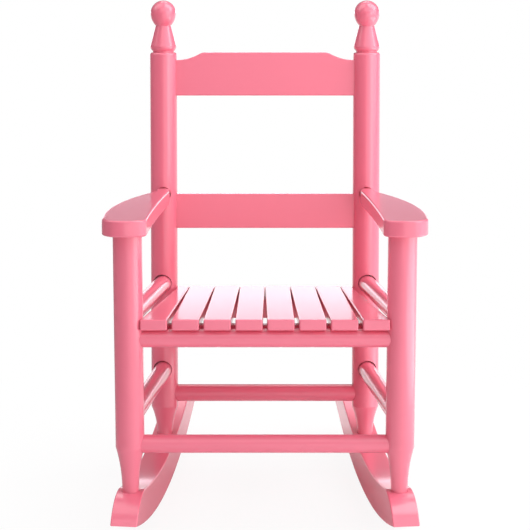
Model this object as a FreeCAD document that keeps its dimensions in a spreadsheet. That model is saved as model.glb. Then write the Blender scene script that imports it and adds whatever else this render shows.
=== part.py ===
import FreeCAD, Part
import math
import operator
import os
from types import SimpleNamespace

import Sketcher
from FreeCAD import Placement, Rotation, Vector

# Child rocking chair: turned posts and rungs, a fanned slat seat, paddle arms and two toed-in rockers.
# Millimetres and degrees. +Z is up, the chair faces -Y, and the floor under the rockers is Z = 0.
# It is drawn with its front posts upright, and then every piece turns with the stance it rests in.

SIZES = [
    # Posts
    ("post_dia", 33.5, "both pairs of posts"),
    ("foot_dia", 19.6, "post foot in the rocker"),
    ("foot_floor", 20.0, "wood left under a foot socket"),
    ("front_post_spread", 312.5, "between the front post axes"),
    ("back_post_spread", 252.6, "between the back post axes"),
    ("back_post_setback", 239.0, "front axis to back axis, at the floor"),
    ("back_lean", 7.5, "lean of the back posts"),
    ("front_taper_height", 52.0, "tapered foot of a front post"),
    ("back_taper_height", 34.0, "tapered foot of a back post"),
    ("post_tenon_dia", 20.0, "front post tenon in the arm"),
    ("post_tenon_length", 11.0, "front post tenon in the arm"),
    ("back_post_height", 586.0, "floor to the top of the finial"),
    # Finial
    ("ball_dia", 31.4, "ball at its widest"),
    ("ball_lower_radius", 22.0, "egg curve under the ball"),
    ("neck_dia", 18.8, "neck under the ball"),
    ("vase_height", 25.6, "neck to the widest part of the vase"),
    ("vase_dia", 32.3, "vase at its widest"),
    ("vase_lip_height", 5.8, "rounded underside of the vase"),
    ("groove_dia", 26.4, "groove under the vase"),
    ("groove_width", 1.6, "groove under the vase"),
    ("shoulder_height", 3.2, "rounded top of the post"),
    # Rungs, stretchers and seat rails
    ("rung_dia", 21.4, "all round rungs"),
    ("rung_inset", 2.0, "rung end stops short of the post axis"),
    ("front_stretcher_height", 112.4, "axis above the floor"),
    ("rear_stretcher_height", 98.4, "axis above the floor"),
    ("lower_rung_front_gap", 6.6, "lower side rung clear above the front stretcher"),
    ("lower_rung_back_gap", 10.4, "lower side rung clear above the rear stretcher"),
    ("upper_rung_front_gap", 1.7, "upper side rung clear above the front seat rail"),
    ("upper_rung_back_gap", 6.9, "upper side rung clear above the rear seat rail"),
    # Seat
    ("seat_front_height", 264.4, "top of the slats at the front edge"),
    ("seat_tilt", 6.5, "seat falls to the back"),
    ("slat_front_overhang", 13.0, "slat ends ahead of the front posts' axis"),
    ("slat_back_overhang", 5.0, "slat ends behind the rear seat rail"),
    ("slat_thickness", 12.7, "slat board"),
    ("slat_edge_radius", 1.8, "softened slat edges"),
    ("slat_back_gap", 0.3, "slat to slat at the back"),
    ("slat_ear", 3.4, "outer slat ahead of the front post"),
    ("outer_slat_back_width", 14.1, "back end of the two outer slats"),
    ("cleat_thickness", 15.0, "both cleats, boards on edge under the slats"),
    ("front_cleat_depth", 12.0, "front cleat"),
    ("rear_cleat_depth", 23.5, "rear cleat"),
    ("front_cleat_gap", 19.5, "front cleat behind the front seat rail"),
    ("rear_cleat_gap", 1.0, "rear cleat ahead of the rear seat rail"),
    ("cleat_end_inset", 0.8, "cleat end inside the outer edge of the seat"),
    ("cleat_edge_radius", 1.2, "softened cleat edges"),
    # Back rails
    ("rail_thickness", 13.0, "both back rails"),
    ("rail_inset", 9.0, "rail end inside the post"),
    ("rail_edge_radius", 1.6, "softened rail edges"),
    ("crest_below_top", 116.5, "lower edge of the crest rail under the top of the finial"),
    ("crest_depth", 53.5, "crest rail in the middle"),
    ("crest_drop", 9.3, "shoulder below the middle"),
    ("crest_run", 34.6, "length of the shoulder curve"),
    ("crest_corner_radius", 12.0, "rounding at the top of the shoulder"),
    ("lower_rail_below_arm", 75.3, "lower edge of the lower rail under the front of the arm"),
    ("lower_rail_depth", 43.0, "lower rail"),
    # Arms
    ("arm_height", 381.0, "top of the arm at the front post"),
    ("arm_slope", 4.75, "arm falls to the back"),
    ("arm_thickness", 19.0, "arm board"),
    ("arm_width", 51.3, "arm at the front"),
    ("arm_outer_overhang", 28.2, "outer edge beyond the post axis"),
    ("arm_front_overhang", 33.0, "front end ahead of the post axis"),
    ("arm_front_bow", 4.0, "bow of the front end"),
    ("arm_inner_bow", 2.0, "hollow of the inner edge"),
    ("arm_straight", 20.0, "straight outer edge behind the post axis"),
    ("arm_neck_width", 16.0, "arm where it meets the back post"),
    ("arm_neck_length", 30.0, "straight neck ahead of the back post"),
    ("arm_outer_corner_radius", 12.0, "front corner"),
    ("arm_inner_corner_radius", 5.0, "front corner"),
    ("arm_edge_radius", 2.4, "softened arm edges"),
    ("arm_tenon_dia", 15.0, "round tenon in the back post"),
    ("arm_tenon_depth", 9.0, "round tenon in the back post"),
    ("arm_turned_length", 26.0, "rounded end that runs into the tenon"),
    ("arm_turned_dia", 25.0, "wide end of that rounding"),
    ("arm_turned_bow", 2.0, "bow of that rounding"),
    # Rockers
    ("rocker_radius", 693.0, "tread curve"),
    ("rocker_depth", 40.5, "board, tread to top"),
    ("rocker_thickness", 31.4, "board"),
    ("rocker_span", 444.0, "front tip to back tip"),
    ("rocker_front_reach", 50.0, "front tip ahead of the front posts' axis"),
    ("rocker_low_point", 146.0, "front posts' axis to the point on the floor"),
    ("rocker_nose_radius", 62.0, "rounded top of both ends"),
    ("rocker_edge_radius", 1.6, "softened rocker edges"),
    ("stance_lean", 1.4, "how far the chair settles back on its rockers"),
    # Fasteners
    ("slat_screw_dia", 3.5, "shank"),
    ("slat_screw_head_dia", 7.0, "countersunk head"),
    ("slat_screw_head_height", 2.4, "countersunk head"),
    ("slat_screw_recess", 1.5, "head below the rail's surface"),
    ("slat_screw_bite", 8.0, "depth into the slat"),
    ("rocker_screw_dia", 5.0, "shank"),
    ("rocker_screw_head_dia", 10.0, "countersunk head"),
    ("rocker_screw_head_height", 3.2, "countersunk head"),
    ("rocker_screw_recess", 5.0, "head above the tread"),
    ("rocker_screw_length", 45.0, "head to tip"),
    ("screw_tip_length", 4.0, "point of a screw"),
    # Fits
    ("socket_clearance", 0.15, "round a piece in its socket"),
    ("socket_end_gap", 0.4, "past the end of a piece in its socket"),
    ("rest_gap", 0.1, "between faces that rest on each other"),
    ("post_gap", 0.8, "slat or arm clear of a post"),
    ("overrun", 5.0, "how far a cut runs past the surface"),
]
SLAT_COUNT = 8
SIDES = (("left", -1), ("right", 1))
AXIS_X = Vector(1, 0, 0)
AXIS_Y = Vector(0, 1, 0)
AXIS_Z = Vector(0, 0, 1)

doc = FreeCAD.newDocument("child_rocking_chair")
sheet = doc.addObject("Spreadsheet::Sheet", "Sizes")
for row, (alias, number, note) in enumerate(SIZES, start=1):
    sheet.set(f"A{row}", alias)
    sheet.set(f"B{row}", str(number))
    sheet.set(f"C{row}", note)
    sheet.setAlias(f"B{row}", alias)
doc.recompute()


# Sizes that are worked out from the sheet

class Size:
    """A number worked out from the sheet, with the expression that ties a feature to it."""

    ACTIONS = {"+": operator.add, "-": operator.sub, "*": operator.mul, "/": operator.truediv}

    def __init__(self, value, text):
        self.value = float(value)
        self.text = text

    @staticmethod
    def of(number):
        return number if isinstance(number, Size) else Size(number, str(number))

    @staticmethod
    def join(left, sign, right):
        left, right = Size.of(left), Size.of(right)
        value = Size.ACTIONS[sign](left.value, right.value)
        return Size(value, f"({left.text} {sign} {right.text})")

    def __add__(self, other):
        return Size.join(self, "+", other)

    def __radd__(self, other):
        return Size.join(other, "+", self)

    def __sub__(self, other):
        return Size.join(self, "-", other)

    def __rsub__(self, other):
        return Size.join(other, "-", self)

    def __mul__(self, other):
        return Size.join(self, "*", other)

    def __rmul__(self, other):
        return Size.join(other, "*", self)

    def __truediv__(self, other):
        return Size.join(self, "/", other)

    def __neg__(self):
        return Size(-self.value, f"(-{self.text})")


def root(size):
    return Size(math.sqrt(size.value), f"sqrt({size.text})")


def sine(angle):
    return Size(math.sin(math.radians(angle.value)), f"sin({angle.text})")


def cosine(angle):
    return Size(math.cos(math.radians(angle.value)), f"cos({angle.text})")


def tangent(angle):
    return Size(math.tan(math.radians(angle.value)), f"tan({angle.text})")


def arc_sine(share):
    return Size(math.degrees(math.asin(share.value)), f"asin({share.text})")


def arc_cosine(share):
    return Size(math.degrees(math.acos(share.value)), f"acos({share.text})")


def bow_radius(chord, bow):
    """Radius of an arc with this chord and this height."""
    return (chord * chord / 4 + bow * bow) / (2 * bow)


def tangent_radius(across, along):
    """Radius of an arc that leaves a line and ends so far along it and across from it."""
    return (across * across + along * along) / (2 * across)


s = SimpleNamespace(**{alias: Size(sheet.get(alias), f"Sizes.{alias}") for alias, number, note in SIZES})
ZERO = Size(0, "0")


# Drawing helpers

def bind(feature, property_name, size):
    feature.setExpression(property_name, size.text)


def new_body(name, placement):
    body = doc.addObject("PartDesign::Body", name)
    body.Placement = placement
    return body


def new_sketch(body, plane, name):
    sketch = body.newObject("Sketcher::SketchObject", name)
    support = [datum for datum in body.Origin.OriginFeatures if datum.Role == plane]
    sketch.AttachmentSupport = (support[0], [""])
    sketch.MapMode = "FlatFace"
    return sketch


def arc_between(start, end, radius):
    """The shorter arc from start to end: a positive radius turns left, a negative one right."""
    chord = end - start
    to_left = Vector(-chord.y, chord.x, 0).normalize()
    rise = math.sqrt(max(radius * radius - chord.Length ** 2 / 4, 0))
    centre = (start + end) / 2 + to_left * math.copysign(rise, radius)
    first, last = (start, end) if radius > 0 else (end, start)
    turns = [math.atan2(point.y - centre.y, point.x - centre.x) for point in (first, last)]
    return Part.ArcOfCircle(Part.Circle(centre, AXIS_Z, abs(radius)), *turns)


def draw_outline(body, plane, name, corners):
    """A closed sketch. A corner is (x, y), or (x, y, radius) where an arc leads to the next corner."""
    sketch = new_sketch(body, plane, name)
    points = [Vector(Size.of(corner[0]).value, Size.of(corner[1]).value, 0) for corner in corners]
    ends = []
    for index, corner in enumerate(corners):
        start, end = points[index], points[(index + 1) % len(points)]
        if len(corner) == 2:
            sketch.addGeometry(Part.LineSegment(start, end), False)
            ends.append((1, 2))
        else:
            radius = corner[2]
            sketch.addGeometry(arc_between(start, end, radius.value), False)
            ends.append((1, 2) if radius.value > 0 else (2, 1))
            length = Size(abs(radius.value), f"abs({radius.text})")
            number = sketch.addConstraint(Sketcher.Constraint("Radius", index, length.value))
            bind(sketch, f"Constraints[{number}]", length)
    for index, corner in enumerate(corners):
        following = (index + 1) % len(corners)
        sketch.addConstraint(
            Sketcher.Constraint("Coincident", index, ends[index][1], following, ends[following][0]))
        for kind, place in (("DistanceX", corner[0]), ("DistanceY", corner[1])):
            size = Size.of(place)
            number = sketch.addConstraint(
                Sketcher.Constraint(kind, -1, 1, index, ends[index][0], size.value))
            bind(sketch, f"Constraints[{number}]", size)
    return sketch


def draw_circle(body, plane, name, dia):
    sketch = new_sketch(body, plane, name)
    sketch.addGeometry(Part.Circle(Vector(), AXIS_Z, dia.value / 2), False)
    sketch.addConstraint(Sketcher.Constraint("Coincident", 0, 3, -1, 1))
    number = sketch.addConstraint(Sketcher.Constraint("Diameter", 0, dia.value))
    bind(sketch, f"Constraints[{number}]", dia)
    return sketch


def pad(body, sketch, length, both_ways=False, downward=False):
    feature = body.newObject("PartDesign::Pad", f"{body.Name}_pad")
    feature.Profile = sketch
    feature.SideType = "Symmetric" if both_ways else "One side"
    feature.Reversed = downward
    bind(feature, "Length", length)
    return feature


def revolve(body, sketch, kind="PartDesign::Revolution"):
    feature = body.newObject(kind, f"{body.Name}_turned")
    feature.Profile = sketch
    feature.ReferenceAxis = (sketch, ["V_Axis"])
    feature.Angle = 360
    return feature


def fillet(body, radius, wanted):
    """Round the edges of the body so far for which wanted(middle, along) holds."""
    doc.recompute()
    base = body.Tip
    names = []
    for number, edge in enumerate(base.Shape.Edges, start=1):
        middle = edge.valueAt((edge.FirstParameter + edge.LastParameter) / 2)
        along = edge.tangentAt((edge.FirstParameter + edge.LastParameter) / 2)
        if wanted(middle, along):
            names.append(f"Edge{number}")
    feature = body.newObject("PartDesign::Fillet", f"{body.Name}_rounding")
    feature.Base = (base, names)
    bind(feature, "Radius", radius)
    return feature


def along(start, end):
    """Turn that lays +Z along the line from start to end."""
    return Rotation(AXIS_Z, end - start)


def cutter_rod(name, dia, length, placement):
    rod = doc.addObject("Part::Cylinder", name)
    bind(rod, "Radius", dia / 2)
    bind(rod, "Height", length)
    rod.Placement = placement
    return rod


def carve(label, base, cutters):
    """Cut the cutters from the base one after another, and check that each one bites."""
    for cutter in cutters:
        cut = doc.addObject("Part::Cut", f"{label}_cut")
        cut.Base = base
        cut.Tool = cutter
        doc.recompute()
        if not cut.Shape.Volume < base.Shape.Volume:
            raise RuntimeError(f"{cutter.Name} cuts nothing from {label}")
        base = cut
    return finish(label, base)


nodes = []


def finish(label, piece):
    """Name a piece that is handed over. It is set in its stance once all pieces are drawn."""
    piece.Label = label
    nodes.append(piece)
    return piece


# Layout: the post axes, the rocker line and the seat

back_slope = tangent(s.back_lean)
back_upright = cosine(s.back_lean)
front_x = s.front_post_spread / 2
back_x = s.back_post_spread / 2
post_radius = s.post_dia / 2
post_step_in = front_x - back_x


# The rocker's centre line runs under both feet, so it toes in towards the back.
foot_run = s.back_post_setback + back_slope * s.rocker_depth
toe_root = root(foot_run * foot_run + post_step_in * post_step_in)
toe_cosine = foot_run / toe_root
toe_angle = math.degrees(math.atan2(post_step_in.value, foot_run.value))
rocker_top_radius = s.rocker_radius - s.rocker_depth
front_tip_reach = (s.rocker_low_point + s.rocker_front_reach) / toe_cosine
back_tip_reach = (s.rocker_span - s.rocker_front_reach - s.rocker_low_point) / toe_cosine


def tread_drop(reach):
    """The tread below the centre of its curve, at a distance along the rocker from its low point."""
    return root(s.rocker_radius * s.rocker_radius - reach * reach)


# The chair turns back about the centre of the tread, so it stays on the floor. The tips end up as
# far ahead of Y = 0 as behind it.
stance_shift = (tread_drop(front_tip_reach) + tread_drop(back_tip_reach)) * sine(s.stance_lean)
tip_middle = (back_tip_reach - front_tip_reach) * toe_cosine * cosine(s.stance_lean)
tread_centre_y = (stance_shift - tip_middle) / 2
front_y = tread_centre_y - s.rocker_low_point
stance = Placement(
    Vector(), Rotation(AXIS_X, -s.stance_lean.value),
    Vector(0, tread_centre_y.value, s.rocker_radius.value))


def front_axis_point(side, height):
    return Vector(side * front_x.value, front_y.value, height.value)


def back_setback(height):
    """Front axis to back axis at a height above the floor."""
    return s.back_post_setback + back_slope * height


def back_axis_point(side, height):
    return Vector(side * back_x.value, (front_y + back_setback(height)).value, height.value)


def rocker_height(setback, radius):
    """Height of the rocker's tread or top curve at a distance behind the front axis."""
    reach = (setback - s.rocker_low_point) / toe_cosine
    return s.rocker_radius - root(radius * radius - reach * reach)


front_tread = rocker_height(ZERO, s.rocker_radius)
front_foot_top = rocker_height(ZERO, rocker_top_radius)
back_tread = rocker_height(foot_run, s.rocker_radius)
back_foot_top = rocker_height(foot_run, rocker_top_radius)

# The seat plane, and the rails that carry it on the post axes
seat_fall = tangent(s.seat_tilt)
rail_drop = s.slat_thickness + s.rest_gap + s.rung_dia / 2
front_rail_height = s.seat_front_height - s.slat_front_overhang * seat_fall - rail_drop / cosine(s.seat_tilt)
rear_rail_height = (front_rail_height - s.back_post_setback * seat_fall) / (1 + back_slope * seat_fall)
seat_place = Placement(
    Vector(0, (front_y - s.slat_front_overhang).value, s.seat_front_height.value),
    Rotation(AXIS_X, -s.seat_tilt.value))

# The arm's middle plane, and where the arm's axis meets the back post axis
arm_cosine = cosine(s.arm_slope)
arm_sine = sine(s.arm_slope)
arm_half = s.arm_thickness / 2
arm_mid_height = s.arm_height - arm_half / arm_cosine
arm_axis_end = back_setback(arm_mid_height) / (arm_cosine + back_slope * arm_sine)
arm_end = arm_axis_end - post_radius + s.arm_tenon_depth
arm_underside = s.arm_height - s.arm_thickness / arm_cosine - s.rest_gap


# Rungs, stretchers and seat rails: plain rods between two posts, with the cutter for their sockets

def make_rod(label, start, end, span):
    """A rod between two points on post axes, and its cutter. span is the distance between the axes."""
    direction = (end - start).normalize()
    length = span - 2 * s.rung_inset
    body = new_body(f"{label}_rod", Placement(start + direction * s.rung_inset.value, along(start, end)))
    pad(body, draw_circle(body, "XY_Plane", f"{label}_section", s.rung_dia), length)
    socket_start = start + direction * (s.rung_inset - s.socket_end_gap).value
    socket = cutter_rod(
        f"{label}_socket", s.rung_dia + 2 * s.socket_clearance, length + 2 * s.socket_end_gap,
        Placement(socket_start, along(start, end)))
    return body, socket


def make_front_rod(label, height):
    return make_rod(label, front_axis_point(-1, height), front_axis_point(1, height), s.front_post_spread)


def make_back_rod(label, height):
    return make_rod(label, back_axis_point(-1, height), back_axis_point(1, height), s.back_post_spread)


def make_side_rung(label, side, front_height, back_height):
    run = back_setback(back_height)
    fall = front_height - back_height
    span = root(run * run + post_step_in * post_step_in + fall * fall)
    return make_rod(label, front_axis_point(side, front_height), back_axis_point(side, back_height), span)


front_stretcher, front_stretcher_socket = make_front_rod("front_stretcher", s.front_stretcher_height)
rear_stretcher, rear_stretcher_socket = make_back_rod("rear_stretcher", s.rear_stretcher_height)
front_seat_rail, front_rail_socket = make_front_rod("front_seat_rail", front_rail_height)
rear_seat_rail, rear_rail_socket = make_back_rod("rear_seat_rail", rear_rail_height)
finish("front_stretcher", front_stretcher)
finish("rear_stretcher", rear_stretcher)

# Side rungs run clear above the rods that cross between the posts.
upper_heights = (front_rail_height + s.rung_dia + s.upper_rung_front_gap,
                 rear_rail_height + s.rung_dia + s.upper_rung_back_gap)
lower_heights = (s.front_stretcher_height + s.rung_dia + s.lower_rung_front_gap,
                 s.rear_stretcher_height + s.rung_dia + s.lower_rung_back_gap)
side_sockets = {}
for name, side in SIDES:
    upper, upper_socket = make_side_rung(f"upper_side_rung_{name}", side, *upper_heights)
    lower, lower_socket = make_side_rung(f"lower_side_rung_{name}", side, *lower_heights)
    finish(f"upper_side_rung_{name}", upper)
    finish(f"lower_side_rung_{name}", lower)
    side_sockets[side] = [upper_socket, lower_socket]


# Screws: one turned shape for each kind, its hole grown from the same sizes, and copies at their places

def make_turned(name, outline):
    body = new_body(name, Placement())
    revolve(body, draw_outline(body, "XZ_Plane", f"{name}_profile", outline))
    doc.recompute()
    return body


def make_screw(name, dia, head_dia, head_height, length, recess):
    """A countersunk screw with its head at Z = 0, and its hole, which runs out below the head."""
    pieces = []
    for suffix, grow, sink in (("", ZERO, ZERO), ("_hole", s.socket_clearance, recess + s.overrun)):
        head, shank = head_dia / 2 + grow, dia / 2 + grow
        outline = [
            (head, ZERO),
            (shank, head_height),
            (shank, length - s.screw_tip_length),
            (ZERO, length + grow),
        ]
        below = [(ZERO, -sink), (head, -sink)] if suffix else [(ZERO, ZERO)]
        pieces.append(make_turned(f"{name}{suffix}", below + outline))
    return pieces


def copies(name, body, places):
    shapes = []
    for place in places:
        shape = body.Shape.copy()
        shape.Placement = place
        shapes.append(shape)
    group = doc.addObject("Part::Feature", name)
    group.Shape = Part.makeCompound(shapes)
    return group


slat_screw_length = s.rung_dia + s.rest_gap + s.slat_screw_bite - s.slat_screw_recess
slat_screw, slat_hole = make_screw(
    "slat_screw", s.slat_screw_dia, s.slat_screw_head_dia, s.slat_screw_head_height, slat_screw_length,
    s.slat_screw_recess)
rocker_screw, rocker_hole = make_screw(
    "rocker_screw", s.rocker_screw_dia, s.rocker_screw_head_dia, s.rocker_screw_head_height,
    s.rocker_screw_length, s.rocker_screw_recess)


# Slats: six plain ones in a fan, and two outer ones trimmed to run beside the side rungs

# A rail's place along the seat, measured down the slope from the front end of the slats
front_rail_along = (s.slat_front_overhang + rail_drop * sine(s.seat_tilt)) / cosine(s.seat_tilt)
rear_rail_along = front_rail_along + back_setback(rear_rail_height) / cosine(s.seat_tilt)
slat_length = rear_rail_along + s.slat_back_overhang
seat_front_half = front_x - post_radius + s.slat_ear
seat_back_half = back_x - post_radius - s.post_gap
slat_width = (2 * (seat_back_half - s.outer_slat_back_width) - (SLAT_COUNT - 1) * s.slat_back_gap) / (
    SLAT_COUNT - 2)
slat_front_pitch = (2 * seat_front_half - slat_width) / (SLAT_COUNT - 1)
slat_back_pitch = slat_width + s.slat_back_gap


def slat_edges(index):
    """Left and right edge of a slat at the front and at the back, across from the middle of the seat."""
    step_share = index - (SLAT_COUNT - 1) / 2
    half = slat_width / 2
    front = [step_share * slat_front_pitch - half, step_share * slat_front_pitch + half]
    back = [step_share * slat_back_pitch - half, step_share * slat_back_pitch + half]
    if index == 0:
        back[0] = -seat_back_half
    if index == SLAT_COUNT - 1:
        back[1] = seat_back_half
    return front, back


def make_slat(index):
    front, back = slat_edges(index)
    name = f"slat_board_{index + 1}"
    body = new_body(name, seat_place)
    outline = [(front[0], ZERO), (front[1], ZERO), (back[1], slat_length), (back[0], slat_length)]
    pad(body, draw_outline(body, "XY_Plane", f"{name}_outline", outline), s.slat_thickness, downward=True)
    fillet(body, s.slat_edge_radius, lambda middle, direction: True)
    return body


screw_head_drop = s.slat_thickness + s.rest_gap + s.rung_dia - s.slat_screw_recess


def slat_screw_places():
    """Under the middle of each slat, on the axis of both seat rails."""
    places = []
    for index in range(SLAT_COUNT):
        front, back = slat_edges(index)
        for distance in (front_rail_along, rear_rail_along):
            share = distance.value / slat_length.value
            across = [f.value * (1 - share) + b.value * share for f, b in zip(front, back)]
            spot = Vector(sum(across) / 2, distance.value, -screw_head_drop.value)
            places.append(seat_place * Placement(spot, Rotation()))
    return places


slat_screw_spots = slat_screw_places()
finish("slat_screws", copies("slat_screws", slat_screw, slat_screw_spots))
slat_holes = copies("slat_screw_holes", slat_hole, slat_screw_spots)
carve("front_seat_rail", front_seat_rail, [slat_holes])
carve("rear_seat_rail", rear_seat_rail, [slat_holes])

# The ear of an outer slat is cut round the front post.
front_post_spaces = {
    index: cutter_rod("front_post_space", s.post_dia + 2 * s.post_gap, s.arm_height,
                      Placement(front_axis_point(side, ZERO), Rotation()))
    for index, side in ((0, -1), (SLAT_COUNT - 1, 1))
}
for index in range(SLAT_COUNT):
    cutters = [slat_holes]
    if index in front_post_spaces:
        cutters.append(front_post_spaces[index])
    carve(f"seat_slat_{index + 1}", make_slat(index), cutters)


# Cleats: boards on edge across the underside of the slats, behind the front rail and ahead of the rear one

cleat_drop = s.slat_thickness + s.rest_gap
cleat_place = seat_place * Placement(Vector(0, 0, -cleat_drop.value), Rotation())


def make_cleat(label, start, depth):
    """A board from start down the slope, as long as the seat is wide behind it."""
    end = start + s.cleat_thickness
    half = seat_front_half - (seat_front_half - seat_back_half) * end / slat_length - s.cleat_end_inset
    body = new_body(f"{label}_board", cleat_place)
    outline = [(-half, start), (half, start), (half, end), (-half, end)]
    pad(body, draw_outline(body, "XY_Plane", f"{label}_outline", outline), depth, downward=True)
    fillet(body, s.cleat_edge_radius, lambda middle, direction: True)
    finish(label, body)


rail_half = s.rung_dia / 2
make_cleat("front_seat_cleat", front_rail_along + rail_half + s.front_cleat_gap, s.front_cleat_depth)
make_cleat("rear_seat_cleat", rear_rail_along - rail_half - s.rear_cleat_gap - s.cleat_thickness,
           s.rear_cleat_depth)


# Back rails: boards let into the back posts, leaning with them

rail_face = back_x - post_radius
rail_end = rail_face + s.rail_inset


def rail_place(height):
    return Placement(back_axis_point(0, height), Rotation(AXIS_X, -s.back_lean.value))


def make_rail(label, outline, base_height, end_depth):
    """The board, and the cutter for its two mortises."""
    body = new_body(f"{label}_board", rail_place(base_height))
    pad(body, draw_outline(body, "XZ_Plane", f"{label}_outline", outline), s.rail_thickness, both_ways=True)
    half = s.rail_thickness.value / 2
    fillet(body, s.rail_edge_radius, lambda middle, direction: math.isclose(abs(middle.y), half))
    mortise = doc.addObject("Part::Box", f"{label}_mortise")
    bind(mortise, "Length", 2 * (rail_end + s.socket_end_gap))
    bind(mortise, "Width", s.rail_thickness + 2 * s.socket_clearance)
    bind(mortise, "Height", end_depth + 2 * s.socket_clearance)
    corner = Vector(-(rail_end + s.socket_end_gap).value, -half - s.socket_clearance.value,
                    -s.socket_clearance.value)
    mortise.Placement = rail_place(base_height) * Placement(corner, Rotation())
    finish(label, body)
    return mortise


def mirrored(half_outline):
    """Close an outline drawn from its right lower corner up to its middle. Arcs keep their turn."""
    corners = list(half_outline)
    for place in reversed(range(len(half_outline))):
        x, y = half_outline[place][:2]
        arc = half_outline[place - 1][2:] if place else ()
        corners.append((-x, y, *arc))
    return corners


crest_end_depth = s.crest_depth - s.crest_drop
ogee_square = s.crest_run * s.crest_run + s.crest_drop * s.crest_drop
ogee_sine = 2 * s.crest_run * s.crest_drop / ogee_square
ogee_hollow = ogee_square / (2 * s.crest_drop) - s.crest_corner_radius
ogee_meet_x = rail_face - ogee_hollow * ogee_sine
ogee_meet_y = crest_end_depth + ogee_hollow * 2 * s.crest_drop * s.crest_drop / ogee_square
crest_half = [
    (rail_end, 0),
    (rail_end, crest_end_depth),
    (rail_face, crest_end_depth, -ogee_hollow),
    (ogee_meet_x, ogee_meet_y, s.crest_corner_radius),
    (rail_face - s.crest_run, s.crest_depth),
]
lower_half = [(rail_end, 0), (rail_end, s.lower_rail_depth)]
crest_base = s.back_post_height - s.crest_below_top
lower_rail_base = s.arm_height - s.lower_rail_below_arm
mortises = [
    make_rail("crest_rail", mirrored(crest_half), crest_base, crest_end_depth),
    make_rail("lower_back_rail", mirrored(lower_half), lower_rail_base, s.lower_rail_depth),
]


# Arms: a paddle board with a turned rear end. Its own Y axis is the axis of the round tenon.

def arm_place(side):
    height = arm_mid_height.value
    return Placement(Vector(side * back_x.value, front_y.value, height), Rotation(AXIS_X, -s.arm_slope.value))


def make_arm(name, side):
    outer = post_step_in + s.arm_outer_overhang
    inner = outer - s.arm_width
    front = s.arm_front_bow - s.arm_front_overhang
    neck = s.arm_neck_width / 2
    tenon_start = arm_axis_end - post_radius - s.post_gap
    neck_start = tenon_start - s.arm_neck_length
    inner_run = neck_start - front
    inner_chord = root((inner + neck) * (inner + neck) + inner_run * inner_run)
    outer_radius = tangent_radius(outer - neck, neck_start - s.arm_straight)
    corners = [
        (outer, front),
        (outer, s.arm_straight, outer_radius),
        (neck, neck_start),
        (neck, arm_end),
        (-neck, arm_end),
        (-neck, neck_start, -bow_radius(inner_chord, s.arm_inner_bow)),
        (inner, front, bow_radius(s.arm_width, s.arm_front_bow)),
    ]
    if side < 0:
        corners = flipped(corners)
    body = new_body(f"arm_board_{name}", arm_place(side))
    pad(body, draw_outline(body, "XY_Plane", f"arm_outline_{name}", corners), s.arm_thickness, both_ways=True)

    def upright_at(x):
        return lambda middle, direction: (
            abs(direction.z) > abs(direction.x) + abs(direction.y)
            and math.isclose(middle.x, side * x.value, abs_tol=s.rest_gap.value)
            and middle.y < 0)

    fillet(body, s.arm_outer_corner_radius, upright_at(outer))
    fillet(body, s.arm_inner_corner_radius, upright_at(inner))
    half = arm_half.value
    fillet(body, s.arm_edge_radius, lambda middle, direction: math.isclose(abs(middle.z), half))
    tenon = s.arm_tenon_dia / 2
    wide = s.arm_turned_dia / 2
    beyond = arm_end + s.overrun
    rounding_start = tenon_start - s.arm_turned_length
    rounding_chord = root((wide - tenon) * (wide - tenon) + s.arm_turned_length * s.arm_turned_length)
    turned_end = [
        (tenon, beyond),
        (tenon, tenon_start, -bow_radius(rounding_chord, s.arm_turned_bow)),
        (wide, rounding_start),
        (s.arm_width, rounding_start),
        (s.arm_width, beyond),
    ]
    revolve(body, draw_outline(body, "XY_Plane", f"arm_turning_{name}", turned_end), "PartDesign::Groove")
    return body


def flipped(corners):
    """An outline mirrored left to right and drawn the other way round, so that arcs keep their turn."""
    return [
        (-corners[index][0], corners[index][1], *corners[index - 1][2:])
        for index in reversed(range(len(corners)))
    ]


def arm_tenon_socket(name, side):
    length = s.arm_tenon_depth + s.socket_end_gap + s.overrun
    start = Vector(0, (arm_end + s.socket_end_gap).value, 0)
    place = arm_place(side) * Placement(start, Rotation(AXIS_Z, -AXIS_Y))
    return cutter_rod(f"arm_tenon_socket_{name}", s.arm_tenon_dia + 2 * s.socket_clearance, length, place)


def post_tenon_socket(name, side):
    length = s.post_tenon_length + s.socket_end_gap + s.overrun
    start = front_axis_point(side, arm_underside - s.overrun)
    return cutter_rod(f"post_tenon_socket_{name}", s.post_tenon_dia + 2 * s.socket_clearance, length,
                      Placement(start, Rotation()))


# Posts: turned, with a tapered foot let into the rocker

def foot_outline(foot_end, foot_top, taper_height):
    """The lower part of a post's profile, from its axis up to full size."""
    foot_radius = s.foot_dia / 2
    hollow = tangent_radius(post_radius - foot_radius, taper_height)
    return [
        (0, foot_end),
        (foot_radius, foot_end),
        (foot_radius, foot_top, -hollow),
        (post_radius, foot_top + taper_height),
    ]


front_foot_end = front_tread + s.foot_floor
back_foot_end = (back_tread + s.foot_floor) / back_upright


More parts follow.
